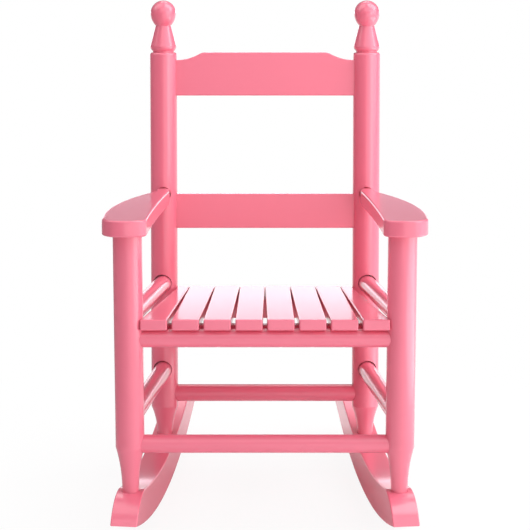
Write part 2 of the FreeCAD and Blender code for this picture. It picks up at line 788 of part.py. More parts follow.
def make_front_post(name, side):
    """Turned post. Its shoulder is cut on the slope of the arm, and a tenon stands on it."""
    full_height = s.arm_height
    body = new_body(f"front_post_turning_{name}", Placement(front_axis_point(side, ZERO), Rotation()))
    profile = foot_outline(front_foot_end, front_foot_top, s.front_taper_height)
    profile += [(post_radius, full_height), (0, full_height)]
    revolve(body, draw_outline(body, "XZ_Plane", f"front_post_profile_{name}", profile))
    slope = arm_sine / arm_cosine
    above = [
        (-s.post_dia, arm_underside + s.post_dia * slope),
        (s.post_dia, arm_underside - s.post_dia * slope),
        (s.post_dia, full_height + s.overrun),
        (-s.post_dia, full_height + s.overrun),
    ]
    shoulder = body.newObject("PartDesign::Pocket", f"front_post_shoulder_{name}")
    shoulder.Profile = draw_outline(body, "YZ_Plane", f"front_post_slope_{name}", above)
    shoulder.SideType = "Symmetric"
    bind(shoulder, "Length", 2 * s.post_dia)
    tenon_root = arm_underside - post_radius
    tenon = draw_circle(body, "XY_Plane", f"front_post_tenon_{name}", s.post_tenon_dia)
    bind(tenon, "AttachmentOffset.Base.z", tenon_root)
    pad(body, tenon, post_radius + s.post_tenon_length)
    return body


def make_back_post(name, side):
    """Turned post with a ball finial over a vase and a groove."""
    body = new_body(
        f"back_post_turning_{name}",
        Placement(back_axis_point(side, ZERO), Rotation(AXIS_X, -s.back_lean.value)))
    top = s.back_post_height / back_upright
    ball = s.ball_dia / 2
    neck = s.neck_dia / 2
    vase = s.vase_dia / 2
    groove = s.groove_dia / 2
    ball_middle = top - ball
    ball_overlap = s.ball_lower_radius - ball + neck
    neck_height = ball_middle - root(s.ball_lower_radius * s.ball_lower_radius - ball_overlap * ball_overlap)
    vase_widest = neck_height - s.vase_height
    vase_base = vase_widest - s.vase_lip_height
    shoulder = vase_base - s.groove_width
    profile = foot_outline(back_foot_end, back_foot_top / back_upright, s.back_taper_height)
    profile += [
        (post_radius, shoulder - s.shoulder_height, tangent_radius(post_radius - groove, s.shoulder_height)),
        (groove, shoulder),
        (groove, vase_base, tangent_radius(vase - groove, s.vase_lip_height)),
        (vase, vase_widest),
        (neck, neck_height, s.ball_lower_radius),
        (ball, ball_middle, ball),
        (0, top),
    ]
    revolve(body, draw_outline(body, "XZ_Plane", f"back_post_profile_{name}", profile))
    return body


def foot_socket(name, axis_start, foot_end):
    """Cutter for a foot's socket, along its post."""
    length = s.rocker_depth + s.overrun
    start = axis_start * Placement(Vector(0, 0, (foot_end - s.socket_end_gap).value), Rotation())
    return cutter_rod(name, s.foot_dia + 2 * s.socket_clearance, length, start)


# Rockers: a curved board on edge, drawn in its own plane about its low point

def make_rocker(name, side):
    tread, top = s.rocker_radius, rocker_top_radius
    nose = s.rocker_nose_radius
    nose_centre = top + nose
    # Angle at the tread's centre between a tip and the start of its nose
    nose_turn = arc_cosine(
        (tread * tread + nose_centre * nose_centre - nose * nose) / (2 * tread * nose_centre))

    def nose_start(reach):
        turn = arc_sine(reach / tread) - nose_turn
        return top * sine(turn), tread - top * cosine(turn)

    front_nose, back_nose = nose_start(front_tip_reach), nose_start(back_tip_reach)
    outline = [
        (-front_tip_reach, tread - tread_drop(front_tip_reach), tread),
        (back_tip_reach, tread - tread_drop(back_tip_reach), nose),
        (back_nose[0], back_nose[1], -top),
        (-front_nose[0], front_nose[1], nose),
    ]
    low_x = front_x.value - s.rocker_low_point.value * math.tan(math.radians(toe_angle))
    low_spot = Vector(side * low_x, (front_y + s.rocker_low_point).value, 0)
    body = new_body(f"rocker_board_{name}", Placement(low_spot, Rotation(AXIS_Z, side * toe_angle)))
    pad(body, draw_outline(body, "YZ_Plane", f"rocker_outline_{name}", outline), s.rocker_thickness,
        both_ways=True)
    half = s.rocker_thickness.value / 2
    fillet(body, s.rocker_edge_radius, lambda middle, direction: math.isclose(abs(middle.x), half))
    return body


def screw_place(axis_start, tread_along):
    return axis_start * Placement(Vector(0, 0, (tread_along + s.rocker_screw_recess).value), Rotation())


front_starts = {side: Placement(front_axis_point(side, ZERO), Rotation()) for name, side in SIDES}
back_starts = {
    side: Placement(back_axis_point(side, ZERO), Rotation(AXIS_X, -s.back_lean.value))
    for name, side in SIDES
}
rocker_screw_spots = [screw_place(front_starts[side], front_tread) for name, side in SIDES]
rocker_screw_spots += [screw_place(back_starts[side], back_tread / back_upright) for name, side in SIDES]
finish("rocker_screws", copies("rocker_screws", rocker_screw, rocker_screw_spots))
rocker_holes = copies("rocker_screw_holes", rocker_hole, rocker_screw_spots)

for name, side in SIDES:
    carve(f"front_post_{name}", make_front_post(name, side), [
        front_stretcher_socket, front_rail_socket, *side_sockets[side], rocker_holes])
    carve(f"back_post_{name}", make_back_post(name, side), [
        rear_stretcher_socket, rear_rail_socket, *side_sockets[side], *mortises,
        arm_tenon_socket(name, side), rocker_holes])
    carve(f"arm_{name}", make_arm(name, side), [post_tenon_socket(name, side)])
    carve(f"rocker_{name}", make_rocker(name, side), [
        foot_socket(f"front_foot_socket_{name}", front_starts[side], front_foot_end),
        foot_socket(f"back_foot_socket_{name}", back_starts[side], back_foot_end),
        rocker_holes,
    ])


# Set each piece in its stance, check every object, then write each piece

doc.recompute()
for node in nodes:
    node.Placement = stance * node.Placement
doc.recompute()
for item in doc.Objects:
    if "Invalid" in item.State or "Error" in item.State:
        raise RuntimeError(f"{item.Name} failed: {item.State}")
solid_counts = {"slat_screws": 2 * SLAT_COUNT, "rocker_screws": 2 * len(SIDES)}
for node in nodes:
    if node.Shape.isNull() or not node.Shape.isValid():
        raise RuntimeError(f"{node.Label} has no valid shape")
    if len(node.Shape.Solids) != solid_counts.get(node.Label, 1):
        raise RuntimeError(f"{node.Label} has {len(node.Shape.Solids)} solids")
os.makedirs("parts", exist_ok=True)
for node in nodes:
    node.Shape.exportStep(f"parts/{node.Label}.step")
print(f"{len(nodes)} pieces written")
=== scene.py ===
"""Looks of a painted child rocking chair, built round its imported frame.

Sizes are in millimetres and degrees. The chair is drawn with its front posts upright, and one matrix
sets every piece down in the stance that the chair rests in, in metres.
"""

from __future__ import annotations

import logging
import math
from dataclasses import dataclass, field
from enum import Enum
from typing import Iterable, Sequence

import bmesh
import bpy
from mathutils import Matrix, Vector

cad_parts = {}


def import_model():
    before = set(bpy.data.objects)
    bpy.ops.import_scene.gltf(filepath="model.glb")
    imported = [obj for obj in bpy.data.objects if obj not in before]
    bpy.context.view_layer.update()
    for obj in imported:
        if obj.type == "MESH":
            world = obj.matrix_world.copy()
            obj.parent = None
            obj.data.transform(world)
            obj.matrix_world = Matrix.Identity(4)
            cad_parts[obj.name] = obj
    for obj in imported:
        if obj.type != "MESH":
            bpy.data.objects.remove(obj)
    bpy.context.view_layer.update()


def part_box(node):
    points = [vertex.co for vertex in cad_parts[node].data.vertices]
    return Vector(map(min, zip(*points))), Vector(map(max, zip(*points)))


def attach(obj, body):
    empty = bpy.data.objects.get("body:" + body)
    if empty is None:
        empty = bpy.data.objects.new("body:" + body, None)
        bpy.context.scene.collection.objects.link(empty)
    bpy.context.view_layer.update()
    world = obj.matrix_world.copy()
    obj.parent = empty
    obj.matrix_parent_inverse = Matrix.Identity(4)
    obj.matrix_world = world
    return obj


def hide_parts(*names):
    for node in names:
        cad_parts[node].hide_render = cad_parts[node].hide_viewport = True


log = logging.getLogger("rocking_chair")

BODY = "root"
WOOD = "painted_wood"
STEEL = "screw_steel"
METRES = 0.001
SIDES = (("left", -1), ("right", 1))
UP = Vector((0, 0, 1))
WELD = 1e-3  # points closer than this are one
ARC_TURN = 0.2  # largest turn from point to point of an arc, in radians
EDGE_STEPS = 5  # faces across the rounded edge of a board
SOFT_STEPS = 4  # faces across the rounded edge of a slat or cleat
CREASE = 32.0  # angle from which an edge stays sharp
NOISE_MEAN = 0.5

Corner = tuple  # (x, y), or (x, y, radius) where an arc leads to the next corner
Line = tuple[Vector, Vector]
Shape = bmesh.types.BMesh
Piece = bpy.types.Object
Material = bpy.types.Material


# Layout


def tipped(spot: Sequence[float], angle: float) -> Matrix:
    """Frame at a spot, with its far end tipped down by an angle."""
    return Matrix.Translation(spot) @ Matrix.Rotation(-math.radians(angle), 4, "X")


@dataclass(frozen=True)
class Layout:
    """The post axes, seat plane, arm plane and rocker curve that all pieces share."""

    post_dia: float = 33.5
    rung_dia: float = 21.4
    front_post_spread: float = 312.5
    back_post_spread: float = 252.6
    back_post_setback: float = 239.0
    back_lean: float = 7.5
    arm_height: float = 381.0
    arm_slope: float = 4.75
    arm_thickness: float = 19.0
    seat_front_height: float = 264.4
    seat_tilt: float = 6.5
    slat_front_overhang: float = 13.0
    slat_thickness: float = 12.7
    rocker_radius: float = 693.0
    rocker_depth: float = 40.5
    rocker_span: float = 444.0
    rocker_front_reach: float = 50.0
    rocker_low_point: float = 146.0
    stance_lean: float = 1.4
    rest_gap: float = 0.1
    seam: float = 0.22
    loose_fit: float = 1.4

    @property
    def front_x(self) -> float:
        """Front post axis from the middle plane."""
        return self.front_post_spread / 2

    @property
    def back_x(self) -> float:
        """Back post axis from the middle plane."""
        return self.back_post_spread / 2

    @property
    def post_radius(self) -> float:
        """Half the thickness of a post."""
        return self.post_dia / 2

    @property
    def rocker_top_radius(self) -> float:
        """Radius of the top curve of a rocker."""
        return self.rocker_radius - self.rocker_depth

    @property
    def back_slope(self) -> float:
        """Run of a back post for each unit of height."""
        return math.tan(math.radians(self.back_lean))

    @property
    def upright(self) -> float:
        """Rise of a back post for each unit of its length."""
        return math.cos(math.radians(self.back_lean))

    @property
    def toe(self) -> float:
        """Angle by which a rocker turns in towards the back, in radians."""
        return math.atan2(self.front_x - self.back_x, self.setback(self.rocker_depth))

    @property
    def front_tip_reach(self) -> float:
        """Low point of a rocker to its front tip, along the rocker."""
        return (self.rocker_low_point + self.rocker_front_reach) / math.cos(self.toe)

    @property
    def back_tip_reach(self) -> float:
        """Low point of a rocker to its back tip, along the rocker."""
        return self.rocker_span / math.cos(self.toe) - self.front_tip_reach

    @property
    def tread_centre_y(self) -> float:
        """Place of the tread's centre, for which both tips end up as far from Y = 0.

        Returns:
            Its Y in the drawing.
        """
        lean = math.radians(self.stance_lean)
        drops = self.tread_drop(self.front_tip_reach) + self.tread_drop(self.back_tip_reach)
        middle = (self.back_tip_reach - self.front_tip_reach) * math.cos(self.toe)
        return (drops * math.sin(lean) - middle * math.cos(lean)) / 2

    @property
    def front_y(self) -> float:
        """Place of the front post axes."""
        return self.tread_centre_y - self.rocker_low_point

    @property
    def stance(self) -> Matrix:
        """Matrix from the upright drawing in millimetres to the chair at rest in metres."""
        centre = Vector((0, self.tread_centre_y, self.rocker_radius))
        return Matrix.Scale(METRES, 4) @ tipped(centre, self.stance_lean) @ Matrix.Translation(-centre)

    @property
    def arm_mid_height(self) -> float:
        """Height of an arm's middle plane at the front post axis."""
        return self.arm_height - self.arm_thickness / 2 / math.cos(math.radians(self.arm_slope))

    @property
    def arm_axis_end(self) -> float:
        """Front post axis to back post axis, along an arm."""
        slope = math.radians(self.arm_slope)
        return self.setback(self.arm_mid_height) / (math.cos(slope) + self.back_slope * math.sin(slope))

    @property
    def rail_drop(self) -> float:
        """Top of the slats to the axis of a seat rail."""
        return self.slat_thickness + self.rest_gap + self.rung_dia / 2

    @property
    def front_rail_height(self) -> float:
        """Axis of the front seat rail above the floor.

        Returns:
            The height in the drawing.
        """
        tilt = math.radians(self.seat_tilt)
        fall = self.slat_front_overhang * math.tan(tilt)
        return self.seat_front_height - fall - self.rail_drop / math.cos(tilt)

    @property
    def rear_rail_height(self) -> float:
        """Axis of the rear seat rail above the floor."""
        fall = math.tan(math.radians(self.seat_tilt))
        return (self.front_rail_height - self.back_post_setback * fall) / (1 + self.back_slope * fall)

    @property
    def seat_place(self) -> Matrix:
        """Seat frame: X across, Y down the slope from the front ends, Z out of the seat."""
        spot = (0, self.front_y - self.slat_front_overhang, self.seat_front_height)
        return tipped(spot, self.seat_tilt)

    def tread_drop(self, reach: float) -> float:
        """Depth of the tread under its centre, so far along the rocker from the low point."""
        return math.sqrt(self.rocker_radius**2 - reach**2)

    def rocker_height(self, setback: float, radius: float) -> float:
        """Height of a rocker's curve of this radius, so far behind the front post axes."""
        reach = (setback - self.rocker_low_point) / math.cos(self.toe)
        return self.rocker_radius - math.sqrt(radius**2 - reach**2)

    def curve_on_posts(self, radius: float) -> tuple[float, float]:
        """Length of the front and back post axes below a rocker's curve of this radius."""
        back = self.rocker_height(self.setback(self.rocker_depth), radius)
        return self.rocker_height(0, radius), back / self.upright

    def setback(self, height: float) -> float:
        """Front post axis to back post axis at a height above the floor."""
        return self.back_post_setback + self.back_slope * height

    def front_point(self, side: int, height: float) -> Vector:
        """A point on a front post axis."""
        return Vector((side * self.front_x, self.front_y, height))

    def back_point(self, side: int, height: float) -> Vector:
        """A point on a back post axis, or between them for side 0."""
        return Vector((side * self.back_x, self.front_y + self.setback(height), height))

    def back_place(self, side: int, height: float) -> Matrix:
        """Frame on a back post axis, or between them for side 0, that leans with the posts."""
        return tipped(self.back_point(side, height), self.back_lean)

    def post_places(self, side: int) -> tuple[Matrix, Matrix]:
        """Frames at the feet of a side's front and back post axes, Z along the post."""
        return Matrix.Translation(self.front_point(side, 0)), self.back_place(side, 0)

    def arm_place(self, side: int) -> Matrix:
        """Arm frame: Y along the axis of the round tenon, Z out of the arm's top."""
        return tipped((side * self.back_x, self.front_y, self.arm_mid_height), self.arm_slope)

    def rocker_place(self, side: int) -> Matrix:
        """Rocker frame: Y along the rocker from its low point, X through its thickness."""
        spot = (side * (self.front_x - self.rocker_low_point * math.tan(self.toe)), self.tread_centre_y, 0)
        return Matrix.Translation(spot) @ Matrix.Rotation(side * self.toe, 4, "Z")


# Shapes


def arc_radius(across: float, along: float) -> float:
    """Radius of an arc that leaves a straight line and ends so far across and along it."""
    return (across**2 + along**2) / (2 * across)


def arc_points(start: Vector, end: Vector, radius: float, step: float) -> list[Vector]:
    """Points of the shorter arc between two points, without the last one.

    Args:
        start: First point.
        end: Last point.
        radius: Radius of the arc. A positive one turns left, a negative one right.
        step: Longest distance between points.

    Returns:
        The points in order.
    """
    chord = end - start
    left = Vector((-chord.y, chord.x)).normalized()
    rise = math.sqrt(max(radius**2 - chord.length_squared / 4, 0))
    centre = (start + end) / 2 + left * math.copysign(rise, radius)
    angle = 2 * math.asin(min(chord.length / 2 / abs(radius), 1)) * math.copysign(1, radius)
    count = max(2, math.ceil(abs(angle * radius) / step), math.ceil(abs(angle) / ARC_TURN))
    spoke = start - centre
    return [centre + Matrix.Rotation(angle * k / count, 2) @ spoke for k in range(count)]


def trace(corners: Sequence[Corner], step: float, closed: bool = True) -> list[Vector]:
    """Points along an outline of lines and arcs.

    Args:
        corners: The corners, each with the radius of the arc that leads on, where there is one.
        step: Longest distance between points on an arc.
        closed: True where the last corner leads back to the first.

    Returns:
        The points in order.
    """
    points: list[Vector] = []
    for index, corner in enumerate(corners):
        start = Vector(corner[:2])
        if index + 1 == len(corners) and not closed:
            points.append(start)
            break
        end = Vector(corners[(index + 1) % len(corners)][:2])
        points += arc_points(start, end, corner[2], step) if len(corner) == 3 else [start]
    return points


def rectangle(half: float, low: float, high: float) -> list[Vector]:
    """Outline from -half to half in X and from low to high in Y."""
    return [Vector(spot) for spot in ((half, low), (half, high), (-half, high), (-half, low))]


def with_rings(profile: Sequence[Vector], step: float, edge: float) -> list[Vector]:
    """Divide the long lines of a profile, so that holes can be cut and corners stay crisp.

    Args:
        profile: Points of (radius, height).
        step: Longest distance between points.
        edge: Distance of the first point from each end of a long line.

    Returns:
        The points with those between them.
    """
    points = [profile[0]]
    for start, end in zip(profile, profile[1:]):
        length = (end - start).length
        if length > step and start.x > 0 and end.x > 0:
            count = math.ceil((length - 2 * edge) / step)
            shares = [edge + (length - 2 * edge) * k / count for k in range(count + 1)]
            points += [start.lerp(end, share / length) for share in shares]
        points.append(end)
    return points


def moved(shape: Shape, place: Matrix) -> Shape:
    """The same shape, after a move."""
    shape.transform(place)
    return shape


def turned(profile: Sequence[Vector], sides: int = 96, ring: bool = False) -> Shape:
    """A shape turned about Z.

    Args:
        profile: Points of (radius, height), with both ends on the axis unless it is a ring.
        sides: Number of faces round the axis.
        ring: True where the profile closes on itself away from the axis.

    Returns:
        The closed shape.
    """
    shape = bmesh.new()
    spokes = [(math.cos(math.tau * k / sides), math.sin(math.tau * k / sides)) for k in range(sides)]
    rings = []
    for radius, height in profile:
        places = spokes if radius > 0 else [(0, 0)]
        rings.append([shape.verts.new((radius * x, radius * y, height)) for x, y in places])
    for lower, upper in zip(rings, rings[1:] + (rings[:1] if ring else [])):
        for k in range(sides):
            spots = ((lower, k), (lower, k + 1), (upper, k + 1), (upper, k))
            around = [row[n % len(row)] for row, n in spots]
            shape.faces.new(list(dict.fromkeys(around)))
    return shape


def rod(start: Vector, end: Vector, radius: float, sides: int = 64) -> Shape:
    """A plain round rod.

    Args:
        start: One end of its axis.
        end: The other end.
        radius: Half its thickness.
        sides: Number of faces round the axis.

    Returns:
        The closed shape.
    """
    length = (end - start).length
    profile = [Vector(spot) for spot in ((0, 0), (radius, 0), (radius, length), (0, length))]
    turn = UP.rotation_difference(end - start).to_matrix().to_4x4()
    return moved(turned(profile, sides), Matrix.Translation(start) @ turn)


def inset(outline: Sequence[Vector], distance: float) -> list[Vector]:
    """Move a closed outline inwards.

    Args:
        outline: The outline.
        distance: How far, which is less than its smallest radius.

    Returns:
        The inner outline, point for point.
    """
    count = len(outline)
    area = sum(outline[k - 1].x * outline[k].y - outline[k - 1].y * outline[k].x for k in range(count))
    inner = []
    for k, spot in enumerate(outline):
        before = (spot - outline[k - 1]).normalized()
        after = (outline[(k + 1) % count] - spot).normalized()
        share = math.copysign(distance, area) / (1 + before.dot(after))
        inner.append(spot + Vector((-before.y - after.y, before.x + after.x)) * share)
    return inner


def board(outline: Sequence[Vector], thickness: float, edge: float = 0.0) -> Shape:
    """A flat board with this outline in X and Y, as thick above Z = 0 as below it.

    Args:
        outline: Closed outline, without its first point again at the end.
        thickness: Thickness of the board.
        edge: Radius of the rounding along both faces, or 0 for sharp edges.

    Returns:
        The closed shape, with its faces outwards.
    """
    steps = EDGE_STEPS if edge else 0
    turns = [math.pi / 2 * (1 - k / max(steps, 1)) for k in range(steps + 1)]
    half = [(edge * (1 - math.cos(turn)), thickness / 2 - edge * (1 - math.sin(turn))) for turn in turns]
    levels = [(depth, -z) for depth, z in half] + half[::-1]
    shape = bmesh.new()
    rings = [[shape.verts.new((*spot, z)) for spot in inset(outline, depth)] for depth, z in levels]
    shape.faces.new(rings[0])
    shape.faces.new(rings[-1])
    for low, high in zip(rings, rings[1:]):
        for k in range(len(outline)):
            shape.faces.new((low[k - 1], low[k], high[k], high[k - 1]))
    bmesh.ops.recalc_face_normals(shape, faces=shape.faces)
    return shape


def soften(shape: Shape, radius: float) -> None:
    """Round all edges."""
    bmesh.ops.bevel(shape, geom=shape.edges[:], offset=radius, offset_type="OFFSET", segments=SOFT_STEPS,
                    profile=0.5, affect="EDGES", clamp_overlap=True)


def joined(shapes: Iterable[Shape]) -> Shape:
    """Put several shapes into one.

    Args:
        shapes: The shapes, which are used up.

    Returns:
        One shape of them all.
    """
    whole = bmesh.new()
    for shape in shapes:
        mesh = bpy.data.meshes.new("part")
        shape.to_mesh(mesh)
        shape.free()
        whole.from_mesh(mesh)
        bpy.data.meshes.remove(mesh)
    return whole


def linked(name: str, data: bpy.types.ID) -> Piece:
    """Put a new object into the scene.

    Args:
        name: Its name.
        data: Its mesh, light or camera.

    Returns:
        The object, at the origin.
    """
    thing = bpy.data.objects.new(name, data)
    bpy.context.scene.collection.objects.link(thing)
    return thing


def make_piece(name: str, shape: Shape, place: Matrix) -> Piece:
    """Turn a shape into an object that sits at the origin, with its place in its mesh.

    Args:
        name: Name of the piece.
        shape: The shape, which is used up.
        place: Matrix from the shape's frame to metres.

    Returns:
        The object, in the scene.
    """
    bmesh.ops.remove_doubles(shape, verts=shape.verts, dist=WELD)
    bmesh.ops.recalc_face_normals(shape, faces=shape.faces)
    shape.transform(place)
    mesh = bpy.data.meshes.new(name)
    shape.to_mesh(mesh)
    shape.free()
    return linked(name, mesh)


def settle(piece: Piece) -> None:
    """Make a piece's modifiers part of its mesh and remove them.

    Args:
        piece: The piece.
    """
    depsgraph = bpy.context.evaluated_depsgraph_get()
    worked = piece.evaluated_get(depsgraph)
    mesh = bpy.data.meshes.new_from_object(worked, preserve_all_data_layers=True, depsgraph=depsgraph)
    piece.modifiers.clear()
    rough = piece.data
    piece.data = mesh
    bpy.data.meshes.remove(rough)
    mesh.name = piece.name


def cut_away(piece: Piece, cutters: Iterable[Shape], place: Matrix) -> None:
    """Cut holes into a piece.

    Args:
        piece: The piece to cut.
        cutters: Closed shapes to take away, which are used up.
        place: Matrix from the cutters' frame to metres.
    """
    tool = make_piece(f"{piece.name}_cutter", joined(cutters), place)
    modifier = piece.modifiers.new("cut", "BOOLEAN")
    modifier.operation = "DIFFERENCE"
    modifier.solver = "EXACT"
    modifier.object = tool
    settle(piece)
    bpy.data.meshes.remove(tool.data)


def smooth(piece: Piece, level: bool) -> None:
    """Shade a piece smoothly between its creases.

    Args:
        piece: The piece.
        level: True to keep flat faces flat beside rounded edges.
    """
    mesh = piece.data
    mesh.polygons.foreach_set("use_smooth", [True] * len(mesh.polygons))
    mesh.set_sharp_from_angle(angle=math.radians(CREASE))
    if level:
        modifier = piece.modifiers.new("level", "WEIGHTED_NORMAL")
        modifier.keep_sharp = True
        modifier.weight = 100
        settle(piece)


# Nodes


class Wire:
    """An output of a node. Sums with it add Math nodes to the tree."""

    def __init__(self, bench: Bench, socket: bpy.types.NodeSocket) -> None:
        """Hold the socket and the bench that makes nodes for it."""
        self.bench = bench
        self.socket = socket

    def _sum(self, operation: str, first: Wire | float, second: Wire | float) -> Wire:
        """Add one Math node."""
        return self.bench.node("ShaderNodeMath", {0: first, 1: second}, operation=operation)[0]

    def __add__(self, other: Wire | float) -> Wire:
        """Self plus other."""
        return self._sum("ADD", self, other)

    def __radd__(self, other: float) -> Wire:
        """Other plus self."""
        return self._sum("ADD", other, self)

    def __sub__(self, other: Wire | float) -> Wire:
        """Self less other."""
        return self._sum("SUBTRACT", self, other)

    def __rsub__(self, other: float) -> Wire:
        """Other less self."""
        return self._sum("SUBTRACT", other, self)

    def __mul__(self, other: Wire | float) -> Wire:
        """Self times other."""
        return self._sum("MULTIPLY", self, other)

    def __rmul__(self, other: float) -> Wire:
        """Other times self."""
        return self._sum("MULTIPLY", other, self)

    def least(self, other: Wire | float) -> Wire:
        """The smaller of self and other."""
        return self._sum("MINIMUM", self, other)

    def most(self, other: Wire | float) -> Wire:
        """The larger of self and other."""
        return self._sum("MAXIMUM", self, other)

    def size(self) -> Wire:
        """Self without its sign."""
        return self.most(0.0 - self)


@dataclass(frozen=True)
class Ramp:
    """A level that climbs in a straight line with a value, kept between two limits."""

    rise: float
    start: float
    low: float = 0.0
    high: float = 1.0

    def of(self, value: Wire) -> Wire:
        """The level for a value."""
        return (value * self.rise + self.start).most(self.low).least(self.high)


class Bench:
    """A node tree with one method that adds nodes to it."""

    def __init__(self, tree: bpy.types.NodeTree) -> None:
        """Start on a tree and clear it."""
        self.tree = tree
        tree.nodes.clear()

    @classmethod
    def of(cls, owner: Material | bpy.types.World) -> Bench:
        """Start on the nodes of a material or a world."""
        owner.use_nodes = True
        return cls(owner.node_tree)

    def node(self, kind: str, sockets: dict | None = None, **settings: object) -> list[Wire]:
        """Add a node.

        Args:
            kind: The node's type.
            sockets: Value or wire, or list of wires, by the socket's name or number.
            settings: Properties, set first. "stops" holds a ramp's (place, colour) pairs.

        Returns:
            The node's outputs.
        """
        node = self.tree.nodes.new(kind)
        for key, value in settings.items():
            if key == "stops":
                ramp = node.color_ramp.elements
                while len(ramp) < len(value):
                    ramp.new(1)
                for element, (place, colour) in zip(ramp, value):
                    element.position, element.color = place, colour
            else:
                setattr(node, key, value)
        for key, value in (sockets or {}).items():
            for item in value if isinstance(value, list) else [value]:
                if isinstance(item, Wire):
                    self.tree.links.new(item.socket, node.inputs[key])
                else:
                    node.inputs[key].default_value = item
        return [Wire(self, socket) for socket in node.outputs]

    def source(self, kind: str, name: str) -> Wire:
        """One named output of a node without inputs."""
        return next(wire for wire in self.node(kind) if wire.socket.name == name)

    def noise(self, place: Wire, scale: float, detail: float) -> Wire:
        """Soft noise round its mean."""
        return self.node("ShaderNodeTexNoise", {"Vector": place, "Scale": scale, "Detail": detail})[0]

    def blend(self, share: Wire, first: Wire | tuple, second: Wire | tuple) -> Wire:
        """Mix two colours, by number, because the node has the same names for every kind of data."""
        return self.node("ShaderNodeMix", {0: share, 6: first, 7: second}, data_type="RGBA")[2]

    def mix(self, share: Wire, first: Wire, second: Wire) -> Wire:
        """Mix two shaders."""
        return self.node("ShaderNodeMixShader", {0: share, 1: first, 2: second})[0]


class GeometryTree(Bench):
    """A geometry tree with named inputs, run on an object by a modifier."""

    def __init__(self, name: str, sizes: dict[str, str]) -> None:
        """Make the tree.

        Args:
            name: Name of the tree.
            sizes: Kind of each named input between the geometry and the material.
        """
        tree = bpy.data.node_groups.new(name, "GeometryNodeTree")
        super().__init__(tree)
        kinds = {"Geometry": "Geometry", **sizes, "Material": "Material"}
        self.names = {}
        for label, kind in kinds.items():
            socket = tree.interface.new_socket(label, in_out="INPUT", socket_type=f"NodeSocket{kind}")
            self.names[label] = socket.identifier
        tree.interface.new_socket("Geometry", in_out="OUTPUT", socket_type="NodeSocketGeometry")
        self.given = dict(zip(kinds, self.node("NodeGroupInput")))

    def end(self, geometry: Wire) -> None:
        """Close the tree: real meshes, one material, and out.

        Args:
            geometry: What the tree has made.
        """
        real = self.node("GeometryNodeRealizeInstances", {"Geometry": geometry})[0]
        dressed = {"Geometry": real, "Material": self.given["Material"]}
        self.node("NodeGroupOutput", {0: self.node("GeometryNodeSetMaterial", dressed)[0]})

    def run(self, piece: Piece, values: dict) -> None:
        """Run the tree on an object and keep the result as its mesh.

        Args:
            piece: The object.
            values: Value of each named input.
        """
        modifier = piece.modifiers.new(self.tree.name, "NODES")
        modifier.node_group = self.tree
        for label, value in values.items():
            modifier[self.names[label]] = value
        settle(piece)


# Finishes


def grey(tone: float) -> tuple:
    """A colour without hue."""
    return (tone, tone, tone, 1.0)


class Grain(Enum):
    """The way the wood runs under the paint, as the scale of its pattern along X, Y and Z."""

    ACROSS = (16.0, 300.0, 300.0)
    DEPTH = (300.0, 16.0, 300.0)
    UPRIGHT = (300.0, 300.0, 16.0)


@dataclass(frozen=True)
class Paint:
    """Semi-gloss paint, brushed and sanded over wood, that lets a trace of the grain show, and that can
    carry a painted shade on faces that look sideways.
    """

    grain: Grain
    name: str = "pink_paint"
    colour: tuple = (0.885, 0.186, 0.276, 1.0)
    shade: tuple = (0.855, 0.169, 0.254, 1.0)
    # The next three fields paint shade: a darker, redder colour that stands in for the shade in the gaps
    # between the slats, and how much of it goes on faces that look sideways.
    painted_shade: tuple = (0.5, 0.055, 0.095, 1.0)
    painted_shade_share: float = 0.0
    painted_shade_sides: Ramp = Ramp(5.0, -3.5)
    cloud_scale: float = 9.0
    cloud_tone: float = 0.7
    cloud_gloss: float = 0.6
    skin_scale: float = 650.0
    roughness: float = 0.3
    roughness_spread: float = 0.06
    coat: float = 0.85
    coat_roughness: float = 0.15
    refraction: float = 1.5
    relief: float = 0.5
    grain_height: float = 0.000006
    skin_height: float = 0.000004

    def material(self) -> Material:
        """Build the material.

        Returns:
            The material, ready to be put on a piece.
        """
        material = bpy.data.materials.new(f"{self.name}_{self.grain.name.lower()}")
        bench = Bench.of(material)
        place = bench.source("ShaderNodeTexCoord", "Object")
        along = bench.node("ShaderNodeMapping", {"Vector": place, "Scale": self.grain.value})[0]
        fibre = bench.noise(along, scale=1.0, detail=3.0)
        skin = bench.noise(place, self.skin_scale, detail=1.0)
        cloud = bench.noise(place, self.cloud_scale, detail=2.0)
        tone = self.colour
        if self.shade != self.colour:
            mottle = cloud * self.cloud_tone + fibre * (1 - self.cloud_tone)
            tone = bench.blend(mottle, self.shade, self.colour)
        # Painted shade: faces that look sideways, such as the slat sides in the seat gaps, are darkened
        # towards the painted shade colour.
        if self.painted_shade_share:
            facing = bench.source("ShaderNodeNewGeometry", "True Normal")
            sideways = bench.node("ShaderNodeSeparateXYZ", {0: facing})[0].size()
            tone = bench.blend(self.painted_shade_sides.of(sideways) * self.painted_shade_share, tone, self.painted_shade)
        speckle = cloud * self.cloud_gloss + skin * (1 - self.cloud_gloss) - NOISE_MEAN
        height = fibre * self.grain_height + skin * self.skin_height
        bump = {"Strength": self.relief, "Distance": 1.0, "Height": height}
        shader = bench.node("ShaderNodeBsdfPrincipled", {
            "Base Color": tone, "Roughness": self.roughness + speckle * self.roughness_spread,
            "Normal": bench.node("ShaderNodeBump", bump)[0], "Coat Weight": self.coat,
            "Coat Roughness": self.coat_roughness, "IOR": self.refraction})[0]
        bench.node("ShaderNodeOutputMaterial", {"Surface": shader})
        return material


